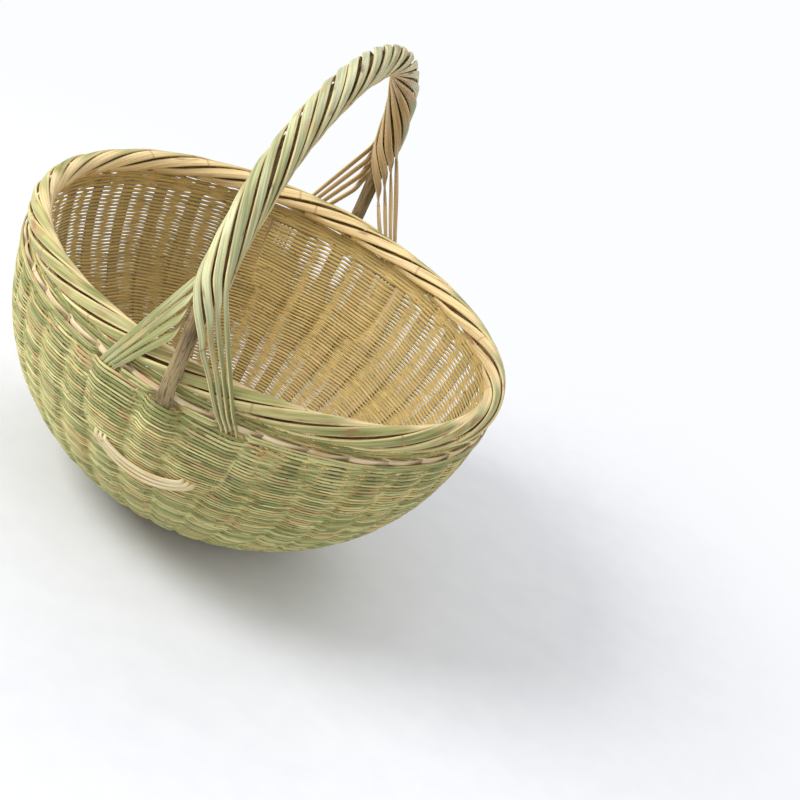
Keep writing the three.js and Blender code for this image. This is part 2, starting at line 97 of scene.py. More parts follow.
def around(azimuth: Values, radial: Values, upward: Values) -> Array:
    """Places or directions round the basket's axis, from their radial and upward parts."""
    parts = np.broadcast_arrays(radial * np.cos(azimuth), radial * np.sin(azimuth), upward)
    return np.stack(parts, axis=-1)


def run_along(places: Array) -> Array:
    """Distance of each place from the first, along them all."""
    steps = np.linalg.norm(np.diff(places, axis=0), axis=1)
    return np.concatenate([[0.0], np.cumsum(steps)])


def crosswise(along: Array) -> tuple[Array, Array]:
    """The directions out of the handle's arch and across it, given those along it."""
    across = unit(np.array([1.0, 0.0, 0.0]) - along * along[:, 0:1])
    return np.cross(across, along), across


def turned(out: Array, across: Array, angle: Values) -> Array:
    """Directions turned from out towards across by an angle in radians."""
    angle = np.asarray(angle)[..., None]
    return out * np.cos(angle) + across * np.sin(angle)


def softened(keys: Array, step: float, reach: float) -> Array:
    """Resamples rows of values at an even step along their first three columns and rounds the corners.

    Args:
        keys: Rows whose first three columns are a place in millimetres.
        step: Distance between the new rows.
        reach: How far to each side of a corner the rounding goes.

    Returns:
        The new rows.
    """
    run = run_along(keys[:, :3])
    even = np.linspace(0.0, run[-1], max(int(run[-1] / step), 4) + 1)
    rows = np.column_stack([np.interp(even, run, column) for column in keys.T])
    half = max(int(round(reach / step)), 1)
    kernel = np.hanning(2 * half + 3)[1:-1]
    kernel = kernel / kernel.sum()
    before = 2.0 * rows[0] - rows[half:0:-1]
    after = 2.0 * rows[-1] - rows[-2 : -half - 2 : -1]
    padded = np.vstack([before, rows, after])
    return np.column_stack([np.convolve(column, kernel, "valid") for column in padded.T])


def placed(name: str, data: bpy.types.ID) -> bpy.types.Object:
    """Makes an object in the scene.

    Args:
        name: Its name.
        data: Its mesh, lamp or camera.

    Returns:
        The object.
    """
    made = bpy.data.objects.new(name, data)
    bpy.context.scene.collection.objects.link(made)
    return made


@dataclass(frozen=True)
class Profile:
    """The section of a strand or strip: across and out in shares of its width and thickness."""

    across: tuple[float, ...]
    out: tuple[float, ...]
    skin: tuple[float, ...]
    edge: tuple[float, ...]

    def rings(self, centre: Array, side: Array, out: Array, width: Values, thickness: Values) -> Array:
        """Places the section at each station of a path.

        Args:
            centre: The path.
            side: Direction across the strip.
            out: Direction that its skin faces.
            width: Its width, the same all along or at each station.
            thickness: Its thickness, likewise.

        Returns:
            The points, stations by points.
        """
        across = np.outer(width, self.across)[..., None]
        up = np.outer(thickness, self.out)[..., None]
        return centre[:, None] + side[:, None] * across + out[:, None] * up


STRIP_SKIN = (0.55, 0.9, 1.0, 1.0, 1.0, 0.9, 0.55, 0.05, 0.0, 0.05)
STRIP_EDGE = (1.0, 1.0, 0.12, 0.0, 0.12, 1.0, 1.0, 0.6, 0.1, 0.6)
STRIP_MIRROR = [6, 5, 4, 3, 2, 1, 0, 9, 8, 7]
STRAND = Profile(
    across=(-0.5, -0.24, 0.24, 0.5, 0.3, -0.3),
    out=(0.0, 0.52, 0.52, 0.0, -0.5, -0.5),
    skin=(0.6, 1.0, 1.0, 0.6, 0.0, 0.0),
    edge=(1.0, 0.1, 0.1, 1.0, 0.2, 0.2),
)
RIBBON = Profile(
    across=(-0.5, -0.47, -0.36, 0.0, 0.36, 0.47, 0.5, 0.44, 0.0, -0.44),
    out=(-0.05, 0.32, 0.47, 0.56, 0.47, 0.32, -0.05, -0.42, -0.5, -0.42),
    skin=STRIP_SKIN,
    edge=STRIP_EDGE,
)
SPLINT = Profile(
    across=(-0.5, -0.46, -0.3, 0.0, 0.3, 0.46, 0.5, 0.42, 0.0, -0.42),
    out=(-0.18, 0.18, 0.44, 0.58, 0.44, 0.18, -0.18, -0.5, -0.5, -0.5),
    skin=STRIP_SKIN,
    edge=STRIP_EDGE,
)


@dataclass
class Sweep:
    """One strand, strip or stick as rings of points, with what its finish reads at each point."""

    rings: Array
    skin: Values
    edge: Values
    tone: Values
    girth: Array
    seed: float
    looped: bool = False

    @classmethod
    def strip(
        cls,
        profile: Profile,
        rows: Array,
        normals: Array,
        width: Values,
        thickness: Values,
        skin: Values,
        tone: Values,
        seed: float,
        lean: float = 0.0,
    ) -> "Sweep":
        """Sweeps a strip's section along a path.

        Args:
            profile: The section.
            rows: Centre of the strip at each station.
            normals: Roughly which way its skin faces.
            width: Its width.
            thickness: Its thickness.
            skin: How much of its outer face is skin.
            tone: Its tone.
            seed: Sets its grain apart from that of other strips.
            lean: Degrees that it leans to one side of its path.

        Returns:
            The strip.
        """
        along = unit(np.gradient(rows, axis=0))
        facing = turned(normals, np.cross(along, normals), math.radians(lean))
        out = unit(facing - along * np.sum(facing * along, axis=1, keepdims=True))
        rings = profile.rings(rows, np.cross(along, out), out, width, thickness)
        girth = np.array(profile.across) * float(np.max(width))
        return cls(rings, np.outer(skin, profile.skin), np.array(profile.edge), tone, girth, seed)

    def columns(self) -> dict[str, list[Values]]:
        """What the finish reads, by the names of the mesh's attributes."""
        along = run_along(self.rings.mean(axis=1))[:, None]
        tone = np.reshape(self.tone, (-1, 1))
        return {"fibre": [along, self.girth, self.seed], "look": [self.skin, self.edge, tone]}

    def faces(self) -> tuple[Array, Array, list[list[int]]]:
        """The quads of the sides with their places on the bake map, and the caps.

        Returns:
            Quads as four point numbers, the bake places of their corners from 0 to 1, and the caps.
        """
        count, points = self.rings.shape[:2]
        steps = count if self.looped else count - 1
        i, j = (axis.ravel() for axis in np.meshgrid(np.arange(steps), np.arange(points), indexing="ij"))
        here, there = i * points, ((i + 1) % count) * points
        side = (j + 1) % points
        quads = np.stack([here + j, here + side, there + side, there + j], axis=1)
        u = np.stack([i, i, i + 1, i + 1], axis=1) / steps
        v = np.stack([j, j + 1, j + 1, j], axis=1) / points
        places = np.stack([u, v], axis=2)
        corners = self.rings.reshape(-1, 3)[quads]
        a, b, c, d = np.moveaxis(corners - corners.mean(axis=(0, 1)), 1, 0)
        volume = np.sum(a * np.cross(b, c)) + np.sum(a * np.cross(c, d))
        first = list(range(points))
        last = list(range((count - 1) * points, count * points))
        caps = [] if self.looped else [first[::-1], last]
        if volume < 0.0:
            quads, places = quads[:, ::-1], places[:, ::-1]
            caps = [cap[::-1] for cap in caps]
        return quads, places, caps


class Graph:
    """Adds nodes to one shader tree and joins them."""

    def __init__(self, tree: bpy.types.NodeTree) -> None:
        """Keeps the tree."""
        self.tree = tree

    def node(self, kind: str, *values: object, **settings: object) -> bpy.types.Node:
        """Adds a node.

        Args:
            kind: Its type without the common start.
            values: What its first inputs are fed, in order.
            settings: Its own settings.

        Returns:
            The node.
        """
        made = self.tree.nodes.new("ShaderNode" + kind)
        for key, value in settings.items():
            setattr(made, key, value)
        for socket, value in zip(made.inputs, values):
            self.feed(socket, value)
        return made

    def feed(self, socket: Socket, value: object) -> None:
        """Joins an output to a socket, or sets a plain value on it.

        Args:
            socket: The socket.
            value: The output or the value.
        """
        if isinstance(value, Socket):
            self.tree.links.new(value, socket)
        else:
            socket.default_value = value

    def result(self, kind: str, *values: object, **settings: object) -> Socket:
        """Adds a node and gives its first output."""
        return self.node(kind, *values, **settings).outputs[0]

    def math(self, operation: str, *values: object) -> Socket:
        """Adds a sum of the given kind."""
        return self.result("Math", *values, operation=operation)

    def parts(self, vector: Socket) -> list[Socket]:
        """Takes a vector apart into its three values."""
        return list(self.node("SeparateXYZ", vector).outputs)

    def noise(self, vector: Socket, stretch: object, detail: float) -> Socket:
        """Adds a noise.

        Args:
            vector: Where to read it.
            stretch: How fast it changes along each axis, plain or an output.
            detail: How many finer layers it has.

        Returns:
            The noise from 0 to 1.
        """
        made = self.node("TexNoise")
        place = self.result("VectorMath", vector, stretch, operation="MULTIPLY")
        for name, item in (("Vector", place), ("Scale", 1.0), ("Detail", detail)):
            self.feed(made.inputs[name], item)
        return made.outputs["Fac"]

    def rise(self, value: object, low: object, high: object, to: Span = (0.0, 1.0)) -> Socket:
        """Adds a clamped, smooth change of range.

        Args:
            value: What is changed.
            low: Where the range starts.
            high: Where it ends.
            to: Results at its start and its end.

        Returns:
            The result.
        """
        made = self.node("MapRange", interpolation_type="SMOOTHSTEP")
        names = ("Value", "From Min", "From Max", "To Min", "To Max")
        for name, item in zip(names, (value, low, high, *to)):
            self.feed(made.inputs[name], item)
        return made.outputs["Result"]

    def mix(self, share: object, one: object, other: object) -> Socket:
        """Adds a mix of two colours.

        Args:
            share: Share of the other colour.
            one: The one colour.
            other: The other colour.

        Returns:
            The mixed colour.
        """
        made = self.node("Mix", data_type="RGBA", blend_type="MIX")
        for index, item in ((0, share), (6, one), (7, other)):
            self.feed(made.inputs[index], item)
        return made.outputs[2]

    def attribute(self, name: str) -> Socket:
        """Reads a named value of the mesh."""
        return self.node("Attribute", attribute_name=name).outputs["Vector"]

    def place(self, group: bpy.types.NodeTree, **inputs: object) -> bpy.types.Node:
        """Places a node group.

        Args:
            group: The group.
            inputs: Values for its inputs, with _ for a space.

        Returns:
            The group's node.
        """
        made = self.node("Group", node_tree=group)
        for name, value in inputs.items():
            self.feed(made.inputs[name.replace("_", " ")], value)
        return made


class BambooGroups:
    """The shader node groups that the finishes share, each built once.

    A stretch says how fast a noise changes along a strip, across it and from strip to strip.
    """

    FLOAT = "NodeSocketFloat"
    VECTOR = "NodeSocketVector"
    COLOUR = "NodeSocketColor"
    FINE_LENGTH = 0.03
    FINE_STEP = 7.3
    FINE_SHARE = 0.6
    COARSE_STRETCH = (0.011, 0.55, 3.1)
    STREAK_RANGE = (0.33, 0.67)
    STREAK_SWING = 0.3
    STAIN_LENGTH = 0.22
    STAIN_STEP = 11.7
    STAIN_EDGE = 0.1
    JOINT_STEP = 61.7
    PATCH_STRETCH = (0.02, 0.12, 5.9)
    PATCH_SWING = 0.9
    DRY_STRETCH = (0.028, 0.05, 9.1)
    DRY_RANGE = (0.56, 0.68)
    BARE_RANGE = (0.15, 0.75)
    BARE_SWING = 0.5
    EDGE_RANGE = (0.25, 0.95)
    SHADE_RANGE = (0.76, 1.12)

    def __init__(self) -> None:
        """Builds the groups."""
        self.fibre = self._fibre()
        self.stain = self._stain()
        self.joint = self._joint()
        self.skin = self._skin()

    @staticmethod
    def _start(name: str, inputs: dict[str, str], outputs: dict[str, str]) -> tuple:
        """Starts a group.

        Args:
            name: Its name.
            inputs: Kinds of its inputs by name.
            outputs: Kinds of its outputs by name.

        Returns:
            The tree, a graph on it, its inputs and its outputs.
        """
        tree = bpy.data.node_groups.new(name, "ShaderNodeTree")
        for way, sockets in (("INPUT", inputs), ("OUTPUT", outputs)):
            for label, kind in sockets.items():
                tree.interface.new_socket(label, in_out=way, socket_type=kind)
        source = tree.nodes.new("NodeGroupInput").outputs
        target = tree.nodes.new("NodeGroupOutput").inputs
        return tree, Graph(tree), source, target

    def _fibre(self) -> bpy.types.NodeTree:
        """Fine streaks along a strip.

        Returns:
            The group.
        """
        inputs = {"Fibre": self.VECTOR, "Fineness": self.FLOAT}
        tree, graph, source, target = self._start("bamboo fibre", inputs, {"Streak": self.FLOAT})
        stretch = graph.result("CombineXYZ", self.FINE_LENGTH, source["Fineness"], self.FINE_STEP)
        fine = graph.math("MULTIPLY", graph.noise(source["Fibre"], stretch, 3.0), self.FINE_SHARE)
        coarse = graph.noise(source["Fibre"], self.COARSE_STRETCH, 1.0)
        both = graph.math("ADD", fine, graph.math("MULTIPLY", coarse, 1.0 - self.FINE_SHARE))
        graph.feed(target["Streak"], graph.rise(both, *self.STREAK_RANGE))
        return tree

    def _stain(self) -> bpy.types.NodeTree:
        """Weathered spots, longer along the strip than across it.

        Returns:
            The group.
        """
        inputs = {"Fibre": self.VECTOR, "Threshold": self.FLOAT, "Fineness": self.FLOAT}
        tree, graph, source, target = self._start("weather stain", inputs, {"Mask": self.FLOAT})
        along = graph.math("MULTIPLY", source["Fineness"], self.STAIN_LENGTH)
        stretch = graph.result("CombineXYZ", along, source["Fineness"], self.STAIN_STEP)
        spots = graph.noise(source["Fibre"], stretch, 3.0)
        full = graph.math("ADD", source["Threshold"], self.STAIN_EDGE)
        graph.feed(target["Mask"], graph.rise(spots, source["Threshold"], full))
        return tree

    def _joint(self) -> bpy.types.NodeTree:
        """Rings where a joint of the cane was.

        Returns:
            The group.
        """
        inputs = {"Fibre": self.VECTOR, "Spacing": self.FLOAT, "Width": self.FLOAT}
        tree, graph, source, target = self._start("cane joint", inputs, {"Mask": self.FLOAT})
        along, _, seed = graph.parts(source["Fibre"])
        moved = graph.math("ADD", along, graph.math("MULTIPLY", seed, self.JOINT_STEP))
        share = graph.math("FRACT", graph.math("DIVIDE", moved, source["Spacing"]))
        away = graph.math("ABSOLUTE", graph.math("SUBTRACT", share, 0.5))
        distance = graph.math("MULTIPLY", away, source["Spacing"])
        graph.feed(target["Mask"], graph.rise(distance, source["Width"], 0.0))
        return tree

    def _skin(self) -> bpy.types.NodeTree:
        """The colour of a split strip: skin on one face, pith on the other, paler cut edges.

        Returns:
            The group.
        """
        inputs = {"Fibre": self.VECTOR, "Look": self.VECTOR, "Streak": self.FLOAT, "Edge Share": self.FLOAT}
        for name in ("Pith", "Deep Skin", "Light Skin", "Warm Skin", "Cut Edge"):
            inputs[name] = self.COLOUR
        outputs = {"Colour": self.COLOUR, "Edge": self.FLOAT}
        tree, graph, source, target = self._start("split strip", inputs, outputs)
        skin, edge, tone = graph.parts(source["Look"])
        patch = graph.noise(source["Fibre"], self.PATCH_STRETCH, 2.0)
        swing = graph.math("MULTIPLY", graph.math("SUBTRACT", source["Streak"], 0.5), self.STREAK_SWING)
        drift = graph.math("MULTIPLY", graph.math("SUBTRACT", patch, 0.5), self.PATCH_SWING)
        lightness = graph.math("ADD", tone, graph.math("ADD", swing, drift))
        green = graph.mix(graph.rise(lightness, 0.0, 1.0), source["Deep Skin"], source["Light Skin"])
        dry = graph.rise(graph.noise(source["Fibre"], self.DRY_STRETCH, 1.0), *self.DRY_RANGE)
        skin_colour = graph.mix(dry, green, source["Warm Skin"])
        bare = graph.math("ADD", skin, graph.math("MULTIPLY", drift, self.BARE_SWING))
        faced = graph.mix(graph.rise(bare, *self.BARE_RANGE), source["Pith"], skin_colour)
        cut = graph.math("MULTIPLY", graph.rise(edge, *self.EDGE_RANGE), source["Edge Share"])
        shade = graph.node("HueSaturation")
        graph.feed(shade.inputs["Value"], graph.rise(source["Streak"], 0.0, 1.0, self.SHADE_RANGE))
        graph.feed(shade.inputs["Color"], graph.mix(cut, faced, source["Cut Edge"]))
        graph.feed(target["Colour"], shade.outputs["Color"])
        graph.feed(target["Edge"], cut)
        return tree


@dataclass(frozen=True)
class BambooFinish:
    """One finish of split bamboo or bare wood, with its colours as they are seen on a screen."""

    slot: Slot
    pith: Paint
    deep_skin: Paint
    light_skin: Paint
    warm_skin: Paint
    cut_edge: Paint
    stain: Paint
    roughness: float = 0.52
    edge_share: float = 0.7
    fineness: float = 2.6
    stain_threshold: float = 0.66
    stain_fineness: float = 0.3
    stain_depth: float = 0.75
    joint_spacing: float = 330.0
    joint_width: float = 1.6
    joint_depth: float = 0.5
    joint_height: float = 0.8
    relief: float = 0.35
    relief_height: float = 0.4
    edge_wear: float = 0.14
    streak_wear: float = 0.16

    def material(self, groups: BambooGroups) -> bpy.types.Material:
        """Builds the material.

        Args:
            groups: The shared node groups.

        Returns:
            The material.
        """
        made = bpy.data.materials.new(self.slot.value + " finish")
        made.use_nodes = True
        graph = Graph(made.node_tree)
        shader = made.node_tree.nodes["Principled BSDF"]
        fibre, look = graph.attribute("fibre"), graph.attribute("look")
        streak = graph.place(groups.fibre, Fibre=fibre, Fineness=self.fineness).outputs["Streak"]
        stain = graph.place(
            groups.stain, Fibre=fibre, Threshold=self.stain_threshold, Fineness=self.stain_fineness
        )
        joint = graph.place(groups.joint, Fibre=fibre, Spacing=self.joint_spacing, Width=self.joint_width)
        strip = graph.place(
            groups.skin,
            Fibre=fibre,
            Look=look,
            Streak=streak,
            Edge_Share=self.edge_share,
            Pith=tint(self.pith),
            Deep_Skin=tint(self.deep_skin),
            Light_Skin=tint(self.light_skin),
            Warm_Skin=tint(self.warm_skin),
            Cut_Edge=tint(self.cut_edge),
        )
        colour = strip.outputs["Colour"]
        spots, ring = stain.outputs["Mask"], joint.outputs["Mask"]
        for mask, depth in ((spots, self.stain_depth), (ring, self.joint_depth)):
            colour = graph.mix(graph.math("MULTIPLY", mask, depth), colour, tint(self.stain))
        streaked = graph.math("MULTIPLY", streak, self.streak_wear)
        worn = graph.math("MULTIPLY_ADD", strip.outputs["Edge"], self.edge_wear, streaked)
        smooth = self.roughness - self.streak_wear / 2.0
        bump = graph.node("Bump")
        graph.feed(bump.inputs["Strength"], self.relief)
        graph.feed(bump.inputs["Distance"], self.relief_height * MM)
        graph.feed(bump.inputs["Height"], graph.math("MULTIPLY_ADD", ring, self.joint_height, streak))
        graph.feed(shader.inputs["Base Color"], colour)
        graph.feed(shader.inputs["Roughness"], graph.math("ADD", worn, smooth))
        graph.feed(shader.inputs["Normal"], bump.outputs["Normal"])
        return made


FINISHES = (
    BambooFinish(
        Slot.WEFT, pith=(218, 190, 122), deep_skin=(138, 146, 78), light_skin=(214, 209, 142),
        warm_skin=(198, 164, 112), cut_edge=(226, 214, 156), stain=(116, 82, 44),
        edge_share=0.45, stain_threshold=0.63, stain_fineness=0.45,
    ),
    BambooFinish(
        Slot.BASE, pith=(200, 170, 116), deep_skin=(128, 134, 70), light_skin=(188, 182, 118),
        warm_skin=(194, 164, 110), cut_edge=(210, 192, 138), stain=(116, 86, 46), edge_share=0.5,
    ),
    # The stake's pith is a dark brown that is painted shade: on the wall the stakes show only in the gaps
    # between weft rows, and this colour stands in for the shade in those gaps.
    BambooFinish(
        Slot.STAKE, pith=(98, 75, 43), deep_skin=(212, 184, 134), light_skin=(242, 222, 182),
        warm_skin=(222, 184, 138), cut_edge=(226, 202, 156), stain=(150, 104, 66), roughness=0.6,
        edge_share=0.4, stain_threshold=0.64, stain_fineness=0.16, joint_spacing=210.0,
    ),
    BambooFinish(
        Slot.RIM, pith=(246, 216, 158), deep_skin=(134, 138, 64), light_skin=(192, 186, 120),
        warm_skin=(182, 160, 98), cut_edge=(238, 222, 162), stain=(166, 108, 76), roughness=0.44,
        fineness=1.0, stain_threshold=0.6, stain_fineness=0.14, joint_spacing=190.0,
    ),
    BambooFinish(
        Slot.CORE, pith=(150, 112, 66), deep_skin=(120, 92, 54), light_skin=(170, 136, 84),
        warm_skin=(150, 116, 70), cut_edge=(178, 142, 92), stain=(84, 60, 34), roughness=0.66,
    ),
    BambooFinish(
        Slot.STICK, pith=(156, 130, 92), deep_skin=(108, 90, 56), light_skin=(180, 158, 112),
        warm_skin=(144, 122, 84), cut_edge=(164, 136, 96), stain=(78, 62, 44), roughness=0.72,
        edge_share=0.2, fineness=1.6, stain_threshold=0.54, stain_fineness=0.55, stain_depth=0.7,
        relief=0.7,
    ),
    BambooFinish(
        Slot.HANDLE, pith=(196, 164, 116), deep_skin=(152, 156, 94), light_skin=(210, 211, 162),
        warm_skin=(198, 182, 124), cut_edge=(226, 206, 150), stain=(118, 90, 60), roughness=0.36,
        fineness=1.0, stain_threshold=0.64, stain_fineness=0.2, joint_spacing=290.0,
    ),
    BambooFinish(
        Slot.LOOP, pith=(226, 204, 154), deep_skin=(212, 192, 140), light_skin=(242, 228, 186),
        warm_skin=(230, 204, 150), cut_edge=(206, 176, 122), stain=(150, 112, 70), roughness=0.54,
        edge_share=0.35, stain_threshold=0.72,
    ),
)


class Workshop:
    """Makes the pieces and dresses them; each sweep of a piece has a lane of its bake map."""

    MAP_MARGIN = 0.01
    LANE_MARGIN = 0.05

    def __init__(self) -> None:
        """Builds the shared groups and every finish."""
        groups = BambooGroups()
        self.materials = {finish.slot: finish.material(groups) for finish in FINISHES}

    def mesh(self, name: str, sweeps: list[Sweep]) -> bpy.types.Mesh:
        """Joins the sweeps of a piece into one mesh.

        Args:
            name: The piece's name.
            sweeps: Its strands, strips or stick.

        Returns:
            The mesh with its bake map and what its finish reads.
        """
        points, faces, places = [], [], []
        layers: dict[str, list[Array]] = {"fibre": [], "look": []}
        start = 0
        lane_height = 1.0 / len(sweeps)
        filled = (1.0 - 2.0 * self.LANE_MARGIN) * lane_height
        ends = (self.MAP_MARGIN, 1.0 - self.MAP_MARGIN)
        for lane, sweep in enumerate(sweeps):
            shape = sweep.rings.shape[:2]
            quads, spots, caps = sweep.faces()
            foot = (lane + self.LANE_MARGIN) * lane_height
            points.append(sweep.rings.reshape(-1, 3))
            faces.extend((quads + start).tolist())
            places.append((spots * (ends[1] - ends[0], filled) + (ends[0], foot)).reshape(-1, 2))
            for cap, end in zip(caps, ends):
                faces.append([index + start for index in cap])
                across = foot + filled * np.linspace(0.0, 1.0, len(cap))
                places.append(np.column_stack([np.full(len(cap), end), across]))
            for key, columns in sweep.columns().items():
                spread = [np.broadcast_to(column, shape) for column in columns]
                layers[key].append(np.stack(spread, axis=2).reshape(-1, 3))
            start += shape[0] * shape[1]
        made = bpy.data.meshes.new(name)
        made.from_pydata((np.vstack(points) * MM).tolist(), [], faces)
        for key, values in layers.items():
            layer = made.attributes.new(key, "FLOAT_VECTOR", "POINT")
            layer.data.foreach_set("vector", np.vstack(values).astype(np.float32).ravel())
        bake = made.uv_layers.new(name=BAKE_MAP)
        bake.data.foreach_set("uv", np.vstack(places).astype(np.float32).ravel())
        made.shade_smooth()
        return made

    def piece(self, name: str, slot: Slot, sweeps: list[Sweep], *nodes: str) -> None:
        """Makes a piece, dresses it, rides it on the body and lets it stand for its solids.

        Args:
            name: Its name.
            slot: The record's slot for its finish.
            sweeps: Its strands, strips or stick.
            nodes: Solids that it stands for.
        """
        mesh = self.mesh(name, sweeps)
        mesh.materials.append(self.materials[slot])
        piece = placed(name, mesh)
        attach(piece, BODY)
        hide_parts(*nodes)
        LOG.info("%s: %d strips, %d faces", name, len(sweeps), len(mesh.polygons))


@dataclass(frozen=True)
class BodyShape:
    """The wall as a surface of revolution: an angle runs down it from 0 at the rim to the base."""

    rim_radius: float = 173.0
    rim_height: float = 178.0
    wall_radius: float = 177.0
    fullness: float = 2.3
    base_radius: float = 48.0
    base_level: float = 3.9
    first_row_radius: float = 66.0
    weave_top: float = 22.7
    bands: int = 8
    stakes: int = 36
    rim_half_width: float = 7.74
    rim_half_height: float = 9.67
    least_sine: float = 0.01

    @property
    def base_angle(self) -> float:
        """Angle where the wall meets the base."""
        return math.acos(self.base_radius / self.wall_radius)

    @property
    def depth(self) -> float:
        """Depth of the whole curve below the rim."""
        return (self.rim_height - self.base_level) / math.sin(self.base_angle) ** (2.0 / self.fullness)

    @property
    def first_angle(self) -> float:
        """Angle of the first weft row."""
        return math.acos(self.first_row_radius / self.wall_radius)

    @property
    def top_angle(self) -> float:
        """Angle of the top of the weave."""
        return float(self.angle_at(self.weave_top))

    @property
    def stake_step(self) -> float:
        """Angle from one stake to the next round the basket."""
        return FULL_TURN / self.stakes

    def angle_at(self, depth: Values) -> Array:
        """The wall's angle at a depth below the rim."""
        return np.arcsin((np.asarray(depth, float) / self.depth) ** (self.fullness / 2.0))

    def band_angle(self, below: float) -> float:
        """The wall's angle at a count of band heights below the top of the weave."""
        return self.top_angle + below * (self.first_angle - self.top_angle) / self.bands

    def bands_down(self, angle: Values) -> Values:
        """How many band heights an angle lies below the top of the weave."""
        return (angle - self.top_angle) / (self.first_angle - self.top_angle) * self.bands

    def radius(self, angle: Values) -> Values:
        """The wall's radius at an angle."""
        return self.wall_radius * np.cos(angle)

    def drop(self, angle: Values) -> Values:
        """How far an angle of the wall lies below the rim."""
        return self.depth * np.maximum(np.sin(angle), self.least_sine) ** (2.0 / self.fullness)

    def normal(self, angle: Values) -> tuple[Values, Values]:
        """The wall's outward direction.

        Args:
            angle: The wall's angle.

        Returns:
            Its radial and its upward share.
        """
        sine = np.maximum(np.sin(angle), self.least_sine)
        radial = (2.0 / self.fullness) * self.drop(angle) * np.cos(angle) / sine
        upward = -self.wall_radius * sine
        length = np.hypot(radial, upward)
        return radial / length, upward / length

    def point(self, angle: Values, azimuth: Values, offset: Values) -> Array:
        """A point on the wall.

        Args:
            angle: The wall's angle.
            azimuth: Round the basket, in radians.
            offset: Outward off the middle of the wall.

        Returns:
            The points, with x, y and z on the last axis.
        """
        radial, upward = self.normal(angle)
        height = self.rim_height - self.drop(angle) + offset * upward
        return around(azimuth, self.radius(angle) + offset * radial, height)


@dataclass
class Maker:
    """Makes the pieces of one sub-assembly, with small seeded differences between them."""

    SEED: ClassVar[int] = 0
    GRAINS: ClassVar[Span] = (0.0, 90.0)
    RIPPLE_STARTS: ClassVar[Span] = (0.0, 6.0)
    workshop: Workshop
    body: BodyShape

    def __post_init__(self) -> None:
        """Starts the random draws."""
        self.rng = np.random.default_rng(self.SEED)

    def vary(self, span: Span) -> float:
        """Draws a value from a span."""
        return float(self.rng.uniform(*span))

    def grain(self) -> float:
        """Draws what sets a strip's grain apart from that of other strips."""
        return self.vary(self.GRAINS)

    def ripple(self, phase: Array) -> Array:
        """A sine wave with its start drawn at random."""
        return np.sin(phase + self.vary(self.RIPPLE_STARTS))

    def wander(self, turns: Array, waves: Waves) -> Array:
        """A slow wave with starts drawn at random, from about -1 to 1, that closes on itself after a turn."""
        total = sum(np.sin(wave * turns + self.vary((0.0, FULL_TURN))) for wave in waves)
        return total / math.sqrt(len(waves))


